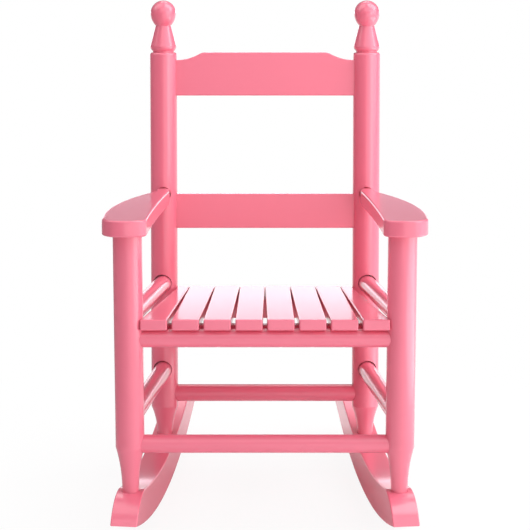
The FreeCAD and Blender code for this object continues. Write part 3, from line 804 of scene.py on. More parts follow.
@dataclass(frozen=True)
class Zinc:
    """Zinc-plated steel of the recessed wood screws."""

    colour: tuple = (0.55, 0.55, 0.53, 1.0)
    stain: tuple = (0.36, 0.35, 0.33, 1.0)
    bloom_scale: float = 900.0
    roughness: float = 0.34
    roughness_spread: float = 0.15

    def material(self) -> Material:
        """Build the material.

        Returns:
            The material, ready to be put on a piece.
        """
        material = bpy.data.materials.new("zinc_plate")
        bench = Bench.of(material)
        bloom = bench.noise(bench.source("ShaderNodeTexCoord", "Object"), self.bloom_scale, detail=2.0)
        shader = bench.node("ShaderNodeBsdfPrincipled", {
            "Base Color": bench.blend(bloom, self.colour, self.stain), "Metallic": 1.0,
            "Roughness": self.roughness + bloom * self.roughness_spread})[0]
        bench.node("ShaderNodeOutputMaterial", {"Surface": shader})
        return material


@dataclass(frozen=True)
class Finishes:
    """The materials on the bench: paint for each way that the grain runs, paint with painted shade for the
    slats and cleats, and zinc for the screws.
    """

    across: Material = field(default_factory=Paint(Grain.ACROSS).material)
    depth: Material = field(default_factory=Paint(Grain.DEPTH).material)
    upright: Material = field(default_factory=Paint(Grain.UPRIGHT).material)
    # The slat finish paints shade on the slat sides, and the cleat finish is the painted shade colour all
    # over, standing in for the shade under the seat.
    slats: Material = field(default_factory=Paint(Grain.DEPTH, "slat_paint", painted_shade_share=0.6).material)
    cleats: Material = field(
        default_factory=Paint(Grain.ACROSS, "cleat_paint", Paint.painted_shade, Paint.painted_shade).material)
    zinc: Material = field(default_factory=Zinc().material)


# Sub-assemblies


@dataclass
class Part:
    """A sub-assembly that is drawn on the shared layout."""

    layout: Layout
    finishes: Finishes

    def add(self, name: str, shape: Shape, place: Matrix, material: Material,
            cuts: Sequence[Shape] = (), level: bool = True) -> None:
        """Make a shape that has its place in the drawing into the finished piece of this name."""
        piece = make_piece(name, shape, self.layout.stance @ place)
        self.dress(piece, [name], material, cuts=cuts, level=level)

    def dress(self, piece: Piece, nodes: Sequence[str], material: Material, slot: str = WOOD,
              cuts: Sequence[Shape] = (), level: bool = True) -> None:
        """Cut and smooth a piece, give it its finish and tie it to the frame.

        Args:
            piece: The piece.
            nodes: The solids that it stands for.
            material: Its finish.
            slot: Name of a material slot; not used.
            cuts: Closed shapes to take away, in the drawing's frame, which are used up.
            level: True to keep flat faces flat beside rounded edges.
        """
        if cuts:
            cut_away(piece, cuts, self.layout.stance)
        smooth(piece, level)
        mesh = piece.data
        mesh.materials.clear()
        mesh.materials.append(material)
        boxes = [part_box(node) for node in nodes]
        points = [vertex.co for vertex in mesh.vertices]
        off = max(abs(pick(point[axis] for point in points) - pick(box[end][axis] for box in boxes))
                  for end, pick in enumerate((min, max)) for axis in range(3))
        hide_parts(*nodes)
        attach(piece, BODY)
        log.info("%s: %d faces, %.2f mm off its solids' box", piece.name, len(mesh.polygons), off / METRES)


@dataclass
class Rungs(Part):
    """Round rungs, stretchers and seat rails: rods that run from post to post."""

    inset: float = 2.0
    front_stretcher_height: float = 112.4
    rear_stretcher_height: float = 98.4
    lower_front_gap: float = 6.6
    lower_back_gap: float = 10.4
    upper_front_gap: float = 1.7
    upper_back_gap: float = 6.9
    rings: int = 24
    sides: int = 72

    def lines(self) -> dict[str, Line]:
        """Axes of the rods.

        Returns:
            Both ends of each axis, by the name of its solid.
        """
        lay = self.layout
        front_low, rear_low = self.front_stretcher_height, self.rear_stretcher_height
        front_high, rear_high = lay.front_rail_height, lay.rear_rail_height
        ends = {
            "front_stretcher": [lay.front_point(side, front_low) for _, side in SIDES],
            "rear_stretcher": [lay.back_point(side, rear_low) for _, side in SIDES],
            "front_seat_rail": [lay.front_point(side, front_high) for _, side in SIDES],
            "rear_seat_rail": [lay.back_point(side, rear_high) for _, side in SIDES],
        }
        rows = (("upper", front_high + self.upper_front_gap, rear_high + self.upper_back_gap),
                ("lower", front_low + self.lower_front_gap, rear_low + self.lower_back_gap))
        for name, side in SIDES:
            for row, front, back in rows:
                ends[f"{row}_side_rung_{name}"] = [lay.front_point(side, front + lay.rung_dia),
                                                   lay.back_point(side, back + lay.rung_dia)]
        lines = {}
        for name, (start, end) in ends.items():
            inward = (end - start).normalized() * self.inset
            lines[name] = (start + inward, end - inward)
        return lines

    def sockets(self, row: str, own: str, loose: float = 0.0) -> list[Shape]:
        """Cutters for the sockets in one post.

        Args:
            row: Start of the names of the rods that join it to the post beside it.
            own: Its side, in which the names of its side rungs end.
            loose: How much wider the gap is at the upper outer side of a side rung.

        Returns:
            A closed shape for each rod.
        """
        radius = self.layout.rung_dia / 2 + self.layout.seam
        cutters = []
        for name, (start, end) in self.lines().items():
            if name.startswith(row) or name.endswith(own):
                extra = loose / 2 if "side" in name else 0.0
                shift = Vector((math.copysign(1, start.x), 0, 1)).normalized() * extra
                cutters.append(rod(start + shift, end + shift, radius + extra))
        return cutters

    def tree(self) -> GeometryTree:
        """Geometry tree that lays a round rod along the edges of a wire.

        Returns:
            The tree.
        """
        tree = GeometryTree("rod_along_a_line", {"Radius": "Float", "Sides": "Int"})
        path = tree.node("GeometryNodeMeshToCurve", {"Mesh": tree.given["Geometry"]})[0]
        section = tree.node("GeometryNodeCurvePrimitiveCircle", {
            "Resolution": tree.given["Sides"], "Radius": tree.given["Radius"]})[0]
        tree.end(tree.node("GeometryNodeCurveToMesh", {
            "Curve": path, "Profile Curve": section, "Fill Caps": True})[0])
        return tree

    def build(self, seat: Seat) -> None:
        """Make each rod as a piece of its own.

        Args:
            seat: The seat, whose screws are let into the seat rails.
        """
        tree = self.tree()
        radius = self.layout.rung_dia / 2 * METRES
        for name, (start, end) in self.lines().items():
            wire = bmesh.new()
            spots = [wire.verts.new(start.lerp(end, k / self.rings)) for k in range(self.rings + 1)]
            for pair in zip(spots, spots[1:]):
                wire.edges.new(pair)
            piece = make_piece(name, wire, self.layout.stance)
            material = self.finishes.depth if "side" in name else self.finishes.across
            tree.run(piece, {"Radius": radius, "Sides": self.sides, "Material": material})
            cuts = seat.recesses() if "seat_rail" in name else ()
            self.dress(piece, [name], material, cuts=cuts, level=False)


@dataclass
class Posts(Part):
    """Turned posts: plain tapered ones in front, leaning ones with ball finials behind."""

    foot_dia: float = 19.6
    foot_floor: float = 20.0
    front_taper_height: float = 52.0
    back_taper_height: float = 34.0
    back_post_height: float = 586.0
    ball_dia: float = 31.4
    ball_lower_radius: float = 22.0
    neck_dia: float = 18.8
    vase_height: float = 25.6
    vase_dia: float = 32.3
    vase_lip_height: float = 5.8
    groove_dia: float = 26.4
    groove_width: float = 1.6
    shoulder_height: float = 3.2
    ring_step: float = 9.0
    ring_edge: float = 0.6

    def foot_ends(self) -> tuple[float, float]:
        """Lower ends of the front and back feet, along the axis of each post."""
        front, back = self.layout.curve_on_posts(self.layout.rocker_radius)
        return front + self.foot_floor, back + self.foot_floor / self.layout.upright

    def foot(self, end: float, top: float, taper: float) -> list[Corner]:
        """Lower part of a profile, from the axis up to full size.

        Args:
            end: Lower end of the foot.
            top: Top of the rocker.
            taper: Height over which the foot widens.

        Returns:
            The corners.
        """
        foot, full = self.foot_dia / 2, self.layout.post_radius
        hollow = arc_radius(full - foot, taper)
        return [(0, end), (foot, end), (foot, top, -hollow), (full, top + taper)]

    def front_profile(self) -> list[Vector]:
        """Profile of a front post, up into the arm.

        Returns:
            Points of (radius, height).
        """
        lay = self.layout
        top = lay.curve_on_posts(lay.rocker_top_radius)[0]
        corners = self.foot(self.foot_ends()[0], top, self.front_taper_height)
        corners += [(lay.post_radius, lay.arm_height), (0, lay.arm_height)]
        return with_rings(trace(corners, step=2.0, closed=False), self.ring_step, self.ring_edge)

    def back_profile(self) -> list[Vector]:
        """Profile of a back post, up to the top of its ball.

        Returns:
            Points of (radius, height).
        """
        lay = self.layout
        full = lay.post_radius
        ball, neck, vase, groove = (
            size / 2 for size in (self.ball_dia, self.neck_dia, self.vase_dia, self.groove_dia))
        top = self.back_post_height / lay.upright
        middle = top - ball
        overlap = self.ball_lower_radius - ball + neck
        neck_height = middle - math.sqrt(self.ball_lower_radius**2 - overlap**2)
        widest = neck_height - self.vase_height
        base = widest - self.vase_lip_height
        shoulder = base - self.groove_width
        foot_top = lay.curve_on_posts(lay.rocker_top_radius)[1]
        corners = self.foot(self.foot_ends()[1], foot_top, self.back_taper_height)
        corners += [
            (full, shoulder - self.shoulder_height, arc_radius(full - groove, self.shoulder_height)),
            (groove, shoulder),
            (groove, base, arc_radius(vase - groove, self.vase_lip_height)),
            (vase, widest),
            (neck, neck_height, self.ball_lower_radius),
            (ball, middle, ball),
            (0, top),
        ]
        return with_rings(trace(corners, step=0.9, closed=False), self.ring_step, self.ring_edge)

    def feet(self, side: int) -> list[Shape]:
        """Cutters for the sockets of one rocker's two feet, with a narrow seam all round.

        Args:
            side: -1 for the left rocker, 1 for the right one.

        Returns:
            A closed shape for each foot.
        """
        lay = self.layout
        radius = self.foot_dia / 2 + lay.seam
        return [moved(rod(UP * (end - lay.seam), UP * (end + lay.rocker_depth), radius), place)
                for place, end in zip(lay.post_places(side), self.foot_ends())]

    def build(self, rungs: Rungs, rails: BackRails, arms: Arms) -> None:
        """Make the four posts.

        Args:
            rungs: The rods that all posts hold.
            rails: The rails that the back posts hold.
            arms: The arms that the back posts hold.
        """
        lay = self.layout
        slope = math.radians(lay.arm_slope)
        underside = lay.arm_height - lay.arm_thickness / math.cos(slope) - lay.rest_gap
        for name, side in SIDES:
            front_place, back_place = lay.post_places(side)
            front = turned(self.front_profile())
            bmesh.ops.remove_doubles(front, verts=front.verts, dist=WELD)
            cut = bmesh.ops.bisect_plane(
                front, geom=front.verts[:] + front.edges[:] + front.faces[:], plane_co=UP * underside,
                plane_no=(0, math.sin(slope), math.cos(slope)), clear_outer=True)
            rim = [edge for edge in cut["geom_cut"] if isinstance(edge, bmesh.types.BMEdge)]
            bmesh.ops.edgenet_fill(front, edges=rim)
            sockets = rungs.sockets("front", name)
            self.add(f"front_post_{name}", front, front_place, self.finishes.upright, sockets, level=False)
            back = turned(self.back_profile())
            sockets = rungs.sockets("rear", name, lay.loose_fit) + rails.mortises() + [arms.socket(side)]
            self.add(f"back_post_{name}", back, back_place, self.finishes.upright, sockets, level=False)


@dataclass
class BackRails(Part):
    """Shaped crest rail and plain lower rail, let into the back posts and leaning with them."""

    thickness: float = 13.0
    inset: float = 9.0
    edge_radius: float = 1.6
    crest_base_height: float = 469.5
    crest_depth: float = 53.5
    crest_drop: float = 9.3
    crest_run: float = 34.6
    crest_corner_radius: float = 12.0
    lower_base_height: float = 305.7
    lower_depth: float = 43.0

    @property
    def face(self) -> float:
        """Middle of the chair to the inner face of a back post."""
        return self.layout.back_x - self.layout.post_radius

    def crest_outline(self) -> list[Vector]:
        """Outline of the crest rail, with a curved shoulder at each end.

        Returns:
            The points in order.
        """
        end, depth = self.face + self.inset, self.crest_depth
        low = depth - self.crest_drop
        hollow = arc_radius(self.crest_drop, self.crest_run) - self.crest_corner_radius
        share = 2 * self.crest_drop * hollow / (self.crest_run**2 + self.crest_drop**2)
        meet_x, meet_y = self.face - share * self.crest_run, low + share * self.crest_drop
        flat = self.face - self.crest_run
        return trace([
            (end, 0), (end, low), (self.face, low, -hollow), (meet_x, meet_y, self.crest_corner_radius),
            (flat, depth), (-flat, depth, self.crest_corner_radius), (-meet_x, meet_y, -hollow),
            (-self.face, low), (-end, low), (-end, 0),
        ], step=1.5)

    def mortises(self) -> list[Shape]:
        """Cutters for the mortises of both rails, with a narrow seam all round.

        Returns:
            A closed shape for each rail.
        """
        seam = self.layout.seam
        end, thickness = self.face + self.inset + seam, self.thickness + 2 * seam
        ends = ((self.crest_base_height, self.crest_depth - self.crest_drop),
                (self.lower_base_height, self.lower_depth))
        return [moved(board(rectangle(end, -seam, depth + seam), thickness), self.place(base))
                for base, depth in ends]

    def place(self, height: float) -> Matrix:
        """Frame of a rail: X across, Y up along the posts, Z through its thickness."""
        return self.layout.back_place(0, height) @ Matrix.Rotation(math.radians(90), 4, "X")

    def build(self) -> None:
        """Make both rails."""
        plain = rectangle(self.face + self.inset, 0, self.lower_depth)
        for name, outline, base in (("crest_rail", self.crest_outline(), self.crest_base_height),
                                    ("lower_back_rail", plain, self.lower_base_height)):
            shape = board(outline, self.thickness, self.edge_radius)
            self.add(name, shape, self.place(base), self.finishes.across)


@dataclass
class Arms(Part):
    """Paddle arms: broad in front of the post, drawn in to a rounded end at the back post."""

    width: float = 51.3
    outer_overhang: float = 28.2
    front_overhang: float = 33.0
    front_bow: float = 7.0
    front_steps: int = 12
    inner_bow: float = 2.0
    straight: float = 20.0
    neck_width: float = 16.0
    neck_length: float = 30.0
    outer_corner_radius: float = 16.0
    inner_corner_radius: float = 8.0
    edge_radius: float = 2.4
    tenon_dia: float = 15.0
    tenon_depth: float = 9.0
    turned_length: float = 26.0
    turned_dia: float = 25.0
    turned_bow: float = 2.0
    post_gap: float = 0.8

    @property
    def tenon_start(self) -> float:
        """Front post axis to the start of the round tenon, along the arm."""
        return self.layout.arm_axis_end - self.layout.post_radius - self.post_gap

    @property
    def end(self) -> float:
        """Front post axis to the end of the round tenon, along the arm."""
        return self.layout.arm_axis_end - self.layout.post_radius + self.tenon_depth

    def outline(self, side: int) -> list[Vector]:
        """Outline of an arm about the axis of its tenon.

        Args:
            side: -1 for the left arm, 1 for the right one.

        Returns:
            The points in order.
        """
        outer = self.layout.front_x - self.layout.back_x + self.outer_overhang
        inner = outer - self.width
        front = self.front_bow - self.front_overhang
        neck = self.neck_width / 2
        neck_start = self.tenon_start - self.neck_length
        curve = arc_radius(outer - neck, neck_start - self.straight)
        chord = math.hypot(inner + neck, neck_start - front)
        hollow = arc_radius(self.inner_bow, chord / 2)
        big, small = self.outer_corner_radius, self.inner_corner_radius
        first, last = inner + small, outer - big
        pitch = (last - first) / self.front_steps
        corners: list[Corner] = [(first + pitch * k, front) for k in range(self.front_steps)]
        corners += [
            (last, front, big), (outer, front + big), (outer, self.straight, curve), (neck, neck_start),
            (neck, self.end), (-neck, self.end), (-neck, neck_start, -hollow), (inner, front + small, small),
        ]
        middle, half = (inner + outer) / 2, self.width / 2
        points = trace(corners, step=2.5)
        for point in points:
            near = max(0.0, 1 - (point.y - front) / (2 * big))
            point.y -= self.front_bow * near * (1 - ((point.x - middle) / half) ** 2)
        return [Vector((side * point.x, point.y)) for point in points]

    def turning(self) -> Shape:
        """Ring that is turned off the back end, about the axis of the tenon.

        Returns:
            The closed shape, in the arm's frame.
        """
        tenon, wide = self.tenon_dia / 2, self.turned_dia / 2
        start, beyond = self.tenon_start - self.turned_length, self.end + self.post_gap
        chord = math.hypot(wide - tenon, self.turned_length)
        bow = arc_radius(self.turned_bow, chord / 2)
        corners = [(tenon, beyond), (tenon, self.tenon_start, -bow), (wide, start),
                   (self.width, start), (self.width, beyond)]
        ring = turned(trace(corners, step=1.5), sides=72, ring=True)
        return moved(ring, Matrix.Rotation(math.radians(-90), 4, "X"))

    def socket(self, side: int) -> Shape:
        """Cutter for the tenon's socket in the back post, a little loose above the tenon.

        Args:
            side: -1 for the left arm, 1 for the right one.

        Returns:
            The closed shape.
        """
        seam, extra = self.layout.seam, self.layout.loose_fit
        start = Vector((0, self.tenon_start - self.tenon_depth, extra))
        cutter = rod(start, Vector((0, self.end + seam, extra)), self.tenon_dia / 2 + seam + extra)
        return moved(cutter, self.layout.arm_place(side))

    def build(self) -> None:
        """Make both arms."""
        for name, side in SIDES:
            place = self.layout.arm_place(side)
            shape = board(self.outline(side), self.layout.arm_thickness, self.edge_radius)
            self.add(f"arm_{name}", shape, place, self.finishes.depth, [moved(self.turning(), place)])


@dataclass
class Seat(Part):
    """Slats that fan out to the front, the outer ones trimmed, with the cleats under them."""

    count: int = 8
    ear: float = 3.4
    back_gap: float = 0.3
    back_overhang: float = 5.0
    outer_back_width: float = 14.1
    post_gap: float = 0.8
    edge_radius: float = 1.8
    screw_dia: float = 3.5
    screw_head_dia: float = 7.0
    screw_head_height: float = 2.4
    screw_recess: float = 1.5
    screw_bite: float = 8.0
    cleat_thickness: float = 15.0
    front_cleat_depth: float = 12.0
    rear_cleat_depth: float = 23.5
    front_cleat_gap: float = 19.5
    rear_cleat_gap: float = 1.0
    cleat_end_inset: float = 0.8
    cleat_edge_radius: float = 1.2

    @property
    def rail_places(self) -> tuple[float, float]:
        """Front ends of the slats to the axis of each seat rail, down the slope.

        Returns:
            The distance to the front rail and to the rear one.
        """
        lay = self.layout
        tilt = math.radians(lay.seat_tilt)
        front = (lay.slat_front_overhang + lay.rail_drop * math.sin(tilt)) / math.cos(tilt)
        return front, front + lay.setback(lay.rear_rail_height) / math.cos(tilt)

    @property
    def length(self) -> float:
        """Length of a slat."""
        return self.rail_places[1] + self.back_overhang

    @property
    def halves(self) -> tuple[float, float]:
        """Half the width of the seat at the front and at the back."""
        lay = self.layout
        return lay.front_x - lay.post_radius + self.ear, lay.back_x - lay.post_radius - self.post_gap

    @property
    def slat_width(self) -> float:
        """Width of a plain slat."""
        inner = 2 * (self.halves[1] - self.outer_back_width) - (self.count - 1) * self.back_gap
        return inner / (self.count - 2)

    @property
    def pitches(self) -> tuple[float, float]:
        """Slat to slat at the front and at the back."""
        return (2 * self.halves[0] - self.slat_width) / (self.count - 1), self.slat_width + self.back_gap

    def tree(self) -> GeometryTree:
        """Geometry tree that lays out the fan of slats from one board.

        Returns:
            The tree.
        """
        sizes = ("Length", "Width", "Thickness", "Front Pitch", "Back Pitch", "Back Limit")
        tree = GeometryTree("fan_of_slats", {"Count": "Int", **dict.fromkeys(sizes, "Float")})
        count, (length, width, thickness, front_pitch, back_pitch, limit) = (
            tree.given["Count"], (tree.given[size] for size in sizes))
        # Boards half a unit wide stand one unit apart, so a point's place tells its slat and its side.
        row = tree.node("GeometryNodeMeshLine", {"Count": count, "Offset": (1.0, 0.0, 0.0)})[0]
        cube = tree.node("GeometryNodeMeshCube", {"Size": (0.5, 1.0, 1.0)})[0]
        boards = tree.node("GeometryNodeInstanceOnPoints", {"Points": row, "Instance": cube})[0]
        real = tree.node("GeometryNodeRealizeInstances", {"Geometry": boards})[0]
        x, y, z = tree.node("ShaderNodeSeparateXYZ", {0: tree.node("GeometryNodeInputPosition")[0]})
        index = tree.node("ShaderNodeMath", {0: x}, operation="ROUND")[0]
        step = index - (count - 1.0) * 0.5
        edge = (x - index) * 2.0 * width
        front = step * front_pitch + edge
        back = (step * back_pitch + edge).least(limit).most(0.0 - limit)
        share = y + 0.5
        spot = tree.node("ShaderNodeCombineXYZ", {
            "X": front + (back - front) * share, "Y": share * length, "Z": (z - 0.5) * thickness})[0]
        tree.end(tree.node("GeometryNodeSetPosition", {"Geometry": real, "Position": spot})[0])
        return tree

    def screw_spots(self) -> list[Vector]:
        """Heads of the screws, under the middle of each slat on both rails.

        Returns:
            Their places in the seat frame.
        """
        lay = self.layout
        drop = lay.slat_thickness + lay.rest_gap + lay.rung_dia - self.screw_recess
        half, limit = self.slat_width / 2, self.halves[1]
        spots = []
        for index in range(self.count):
            step = index - (self.count - 1) / 2
            front, plain = (step * pitch for pitch in self.pitches)
            back = sum(max(-limit, min(limit, plain + side * half)) for _, side in SIDES) / 2
            for distance in self.rail_places:
                across = front + (back - front) * distance / self.length
                spots.append(Vector((across, distance, -drop)))
        return spots

    def recesses(self) -> list[Shape]:
        """Cutters for the countersunk holes under the seat rails.

        Returns:
            A closed shape for each hole.
        """
        lay = self.layout
        head, shank = self.screw_head_dia / 2 + lay.seam / 2, self.screw_dia / 2 + lay.seam / 2
        low, high = -self.screw_recess - lay.rung_dia / 4, lay.rung_dia
        profile = [Vector(corner) for corner in (
            (0, low), (head, low), (head, 0), (shank, self.screw_head_height), (shank, high), (0, high))]
        return [moved(turned(profile, sides=24), lay.seat_place @ Matrix.Translation(spot))
                for spot in self.screw_spots()]

    def build(self) -> None:
        """Make the slats."""
        lay = self.layout
        piece = make_piece("seat_slats", bmesh.new(), Matrix())
        self.tree().run(piece, {
            "Count": self.count, "Length": self.length, "Width": self.slat_width,
            "Thickness": lay.slat_thickness, "Front Pitch": self.pitches[0], "Back Pitch": self.pitches[1],
            "Back Limit": self.halves[1], "Material": self.finishes.slats})
        shape = bmesh.new()
        shape.from_mesh(piece.data)
        bmesh.ops.recalc_face_normals(shape, faces=shape.faces)
        soften(shape, self.edge_radius)
        shape.transform(lay.stance @ lay.seat_place)
        shape.to_mesh(piece.data)
        shape.free()
        posts = [rod(lay.front_point(side, 0), lay.front_point(side, lay.arm_height),
                     lay.post_radius + self.post_gap, sides=96) for _, side in SIDES]
        nodes = [f"seat_slat_{k + 1}" for k in range(self.count)]
        self.dress(piece, nodes, self.finishes.slats, cuts=posts)

    def build_cleats(self) -> None:
        """Make the boards on edge across the underside of the slats, between the two seat rails."""
        lay = self.layout
        front, rear = self.rail_places
        front_start = front + lay.rung_dia / 2 + self.front_cleat_gap
        rear_start = rear - lay.rung_dia / 2 - self.rear_cleat_gap - self.cleat_thickness
        wide, narrow = self.halves
        for name, start, depth in (("front_seat_cleat", front_start, self.front_cleat_depth),
                                   ("rear_seat_cleat", rear_start, self.rear_cleat_depth)):
            end = start + self.cleat_thickness
            half = wide - (wide - narrow) * end / self.length - self.cleat_end_inset
            shape = board(rectangle(half, start, end), depth)
            soften(shape, self.cleat_edge_radius)
            drop = lay.slat_thickness + lay.rest_gap + depth / 2
            # The cleats get the dark painted shade colour all over, standing in for the shade under the
            # slats.
            self.add(name, shape, lay.seat_place @ Matrix.Translation(UP * -drop), self.finishes.cleats)


@dataclass
class Rockers(Part):
    """Curved boards on edge that toe in towards the back."""

    thickness: float = 31.4
    nose_radius: float = 62.0
    edge_radius: float = 1.6
    screw_dia: float = 5.0
    screw_head_dia: float = 10.0
    screw_head_height: float = 3.2
    screw_recess: float = 5.0
    screw_length: float = 45.0

    def outline(self) -> list[Vector]:
        """Side view of a rocker about its low point.

        Returns:
            The points in order.
        """
        lay = self.layout
        tread, top = lay.rocker_radius, lay.rocker_top_radius
        far = top + self.nose_radius
        turn = math.acos((tread**2 + far**2 - self.nose_radius**2) / (2 * tread * far))

        def nose(reach: float) -> tuple[float, float]:
            """Where the top curve runs into the nose."""
            angle = math.asin(reach / tread) - turn
            return top * math.sin(angle), tread - top * math.cos(angle)

        front, back = lay.front_tip_reach, lay.back_tip_reach
        front_nose, back_nose = nose(front), nose(back)
        return trace([
            (-front, tread - lay.tread_drop(front), tread),
            (back, tread - lay.tread_drop(back), self.nose_radius),
            (back_nose[0], back_nose[1], -top),
            (-front_nose[0], front_nose[1], self.nose_radius),
        ], step=4.0)

    def screw_places(self, side: int) -> list[Matrix]:
        """Frames of one rocker's two screws, Z along the post.

        Args:
            side: -1 for the left rocker, 1 for the right one.

        Returns:
            Matrices from the screws to the drawing, front one first.
        """
        lay = self.layout
        treads = lay.curve_on_posts(lay.rocker_radius)
        return [place @ Matrix.Translation(UP * (tread + self.screw_recess))
                for place, tread in zip(lay.post_places(side), treads)]

    def recesses(self, side: int) -> list[Shape]:
        """Cutters for the holes under one rocker.

        Args:
            side: -1 for the left rocker, 1 for the right one.

        Returns:
            A closed shape for each hole.
        """
        head = self.screw_head_dia / 2 + self.layout.seam
        low, high = UP * -2 * self.screw_recess, UP * self.screw_head_height
        return [moved(rod(low, high, head, sides=48), place) for place in self.screw_places(side)]

    def build(self, posts: Posts) -> None:
        """Make both rockers.

        Args:
            posts: The posts, whose feet are let into the rockers.
        """
        on_edge = Matrix(((0, 0, 1, 0), (1, 0, 0, 0), (0, 1, 0, 0), (0, 0, 0, 1)))
        for name, side in SIDES:
            shape = board(self.outline(), self.thickness, self.edge_radius)
            place = self.layout.rocker_place(side) @ on_edge
            cuts = posts.feet(side) + self.recesses(side)
            self.add(f"rocker_{name}", shape, place, self.finishes.depth, cuts)


@dataclass
class Screws(Part):
    """Countersunk cross-head screws under the seat rails and the rockers."""

    seat: Seat
    rockers: Rockers
    tip_length: float = 4.0
    head_sides: int = 32
    shank_sides: int = 20
    cross_width: float = 0.18
    cross_length: float = 1.2
    cross_depth: float = 0.1

    def tree(self) -> GeometryTree:
        """Geometry tree that sets a screw on each point of a mesh, along its axis attribute.

        Returns:
            The tree.
        """
        sizes = ("Head Radius", "Head Height", "Shank Radius", "Length", "Tip Length", "Cross Width")
        tree = GeometryTree("screws_on_points", dict.fromkeys(sizes, "Float"))
        radius, height, shank_radius, length, tip, cross_width = (tree.given[size] for size in sizes)

        def lifted(shape: Wire, rise: Wire) -> Wire:
            """A shape moved along the screw."""
            shift = tree.node("ShaderNodeCombineXYZ", {"Z": rise})[0]
            return tree.node("GeometryNodeTransform", {"Geometry": shape, "Translation": shift})[0]

        head = tree.node("GeometryNodeMeshCone", {
            "Vertices": self.head_sides, "Radius Top": shank_radius, "Radius Bottom": radius,
            "Depth": height}, fill_type="NGON")[0]
        slim = cross_width * radius * 2.0
        slots = []
        for long_x, long_y in ((self.cross_length, 0.0), (0.0, self.cross_length)):
            size = tree.node("ShaderNodeCombineXYZ", {
                "X": (radius * long_x).most(slim), "Y": (radius * long_y).most(slim), "Z": height})[0]
            slots.append(tree.node("GeometryNodeMeshCube", {"Size": size})[0])
        cross = tree.node("GeometryNodeMeshBoolean", {1: slots}, operation="UNION")[0]
        sunk = lifted(cross, 0.0 - height * self.cross_depth)
        driven = tree.node("GeometryNodeMeshBoolean", {0: head, 1: sunk}, operation="DIFFERENCE")[0]
        body = length - height - tip
        shank = tree.node("GeometryNodeMeshCylinder", {
            "Vertices": self.shank_sides, "Radius": shank_radius, "Depth": body}, fill_type="NGON")[0]
        point = tree.node("GeometryNodeMeshCone", {
            "Vertices": self.shank_sides, "Radius Top": 0.0, "Radius Bottom": shank_radius,
            "Depth": tip}, fill_type="NGON")[0]
        parts = [driven, lifted(shank, height + body * 0.5), lifted(point, height + body)]
        screw = tree.node("GeometryNodeJoinGeometry", {0: parts})[0]
        axis = tree.node("GeometryNodeInputNamedAttribute", {"Name": "axis"}, data_type="FLOAT_VECTOR")[0]
        turn = tree.node("FunctionNodeAlignRotationToVector", {"Vector": axis}, axis="Z")[0]
        points = tree.node("GeometryNodeMeshToPoints", {"Mesh": tree.given["Geometry"]})[0]
        tree.end(tree.node("GeometryNodeInstanceOnPoints", {
            "Points": points, "Instance": screw, "Rotation": turn})[0])
        return tree

    def build(self) -> None:
        """Make both groups of screws."""
        lay, seat, rockers = self.layout, self.seat, self.rockers
        tree = self.tree()
        seat_frames = [lay.seat_place @ Matrix.Translation(spot) for spot in seat.screw_spots()]
        rocker_frames = [place for _, side in SIDES for place in rockers.screw_places(side)]
        slat_length = lay.rung_dia + lay.rest_gap + seat.screw_bite - seat.screw_recess
        for name, frames, kind, length in (("slat_screws", seat_frames, seat, slat_length),
                                           ("rocker_screws", rocker_frames, rockers, rockers.screw_length)):
            places = [lay.stance @ frame for frame in frames]
            mesh = bpy.data.meshes.new(name)
            mesh.from_pydata([place.translation for place in places], [], [])
            axes = mesh.attributes.new("axis", "FLOAT_VECTOR", "POINT")
            for item, place in zip(axes.data, places):
                item.vector = (place.to_3x3() @ UP).normalized()
            piece = linked(name, mesh)
            tree.run(piece, {
                "Head Radius": kind.screw_head_dia / 2 * METRES, "Shank Radius": kind.screw_dia / 2 * METRES,
                "Head Height": kind.screw_head_height * METRES, "Length": length * METRES,
                "Tip Length": self.tip_length * METRES, "Cross Width": self.cross_width,
                "Material": self.finishes.zinc})
            self.dress(piece, [name], self.finishes.zinc, STEEL, level=False)


# Studio


@dataclass(frozen=True)
class Lamp:
    """A soft light: where it stands, its width and height, and its power in watts."""

    name: str
    spot: tuple
    size: tuple
    power: float
    colour: tuple = (1.0, 1.0, 1.0)
    aim: tuple = (0.0, 0.0, 0.28)

    def build(self) -> None:
        """Add the light, turned towards its aim."""
        data = bpy.data.lights.new(self.name, "AREA")
        data.shape = "RECTANGLE"
        data.size, data.size_y = self.size
        data.energy = self.power
        data.color = self.colour
        lamp = linked(self.name, data)
        lamp.location = self.spot
        lamp.rotation_euler = (Vector(self.aim) - Vector(self.spot)).to_track_quat("-Z", "Y").to_euler()


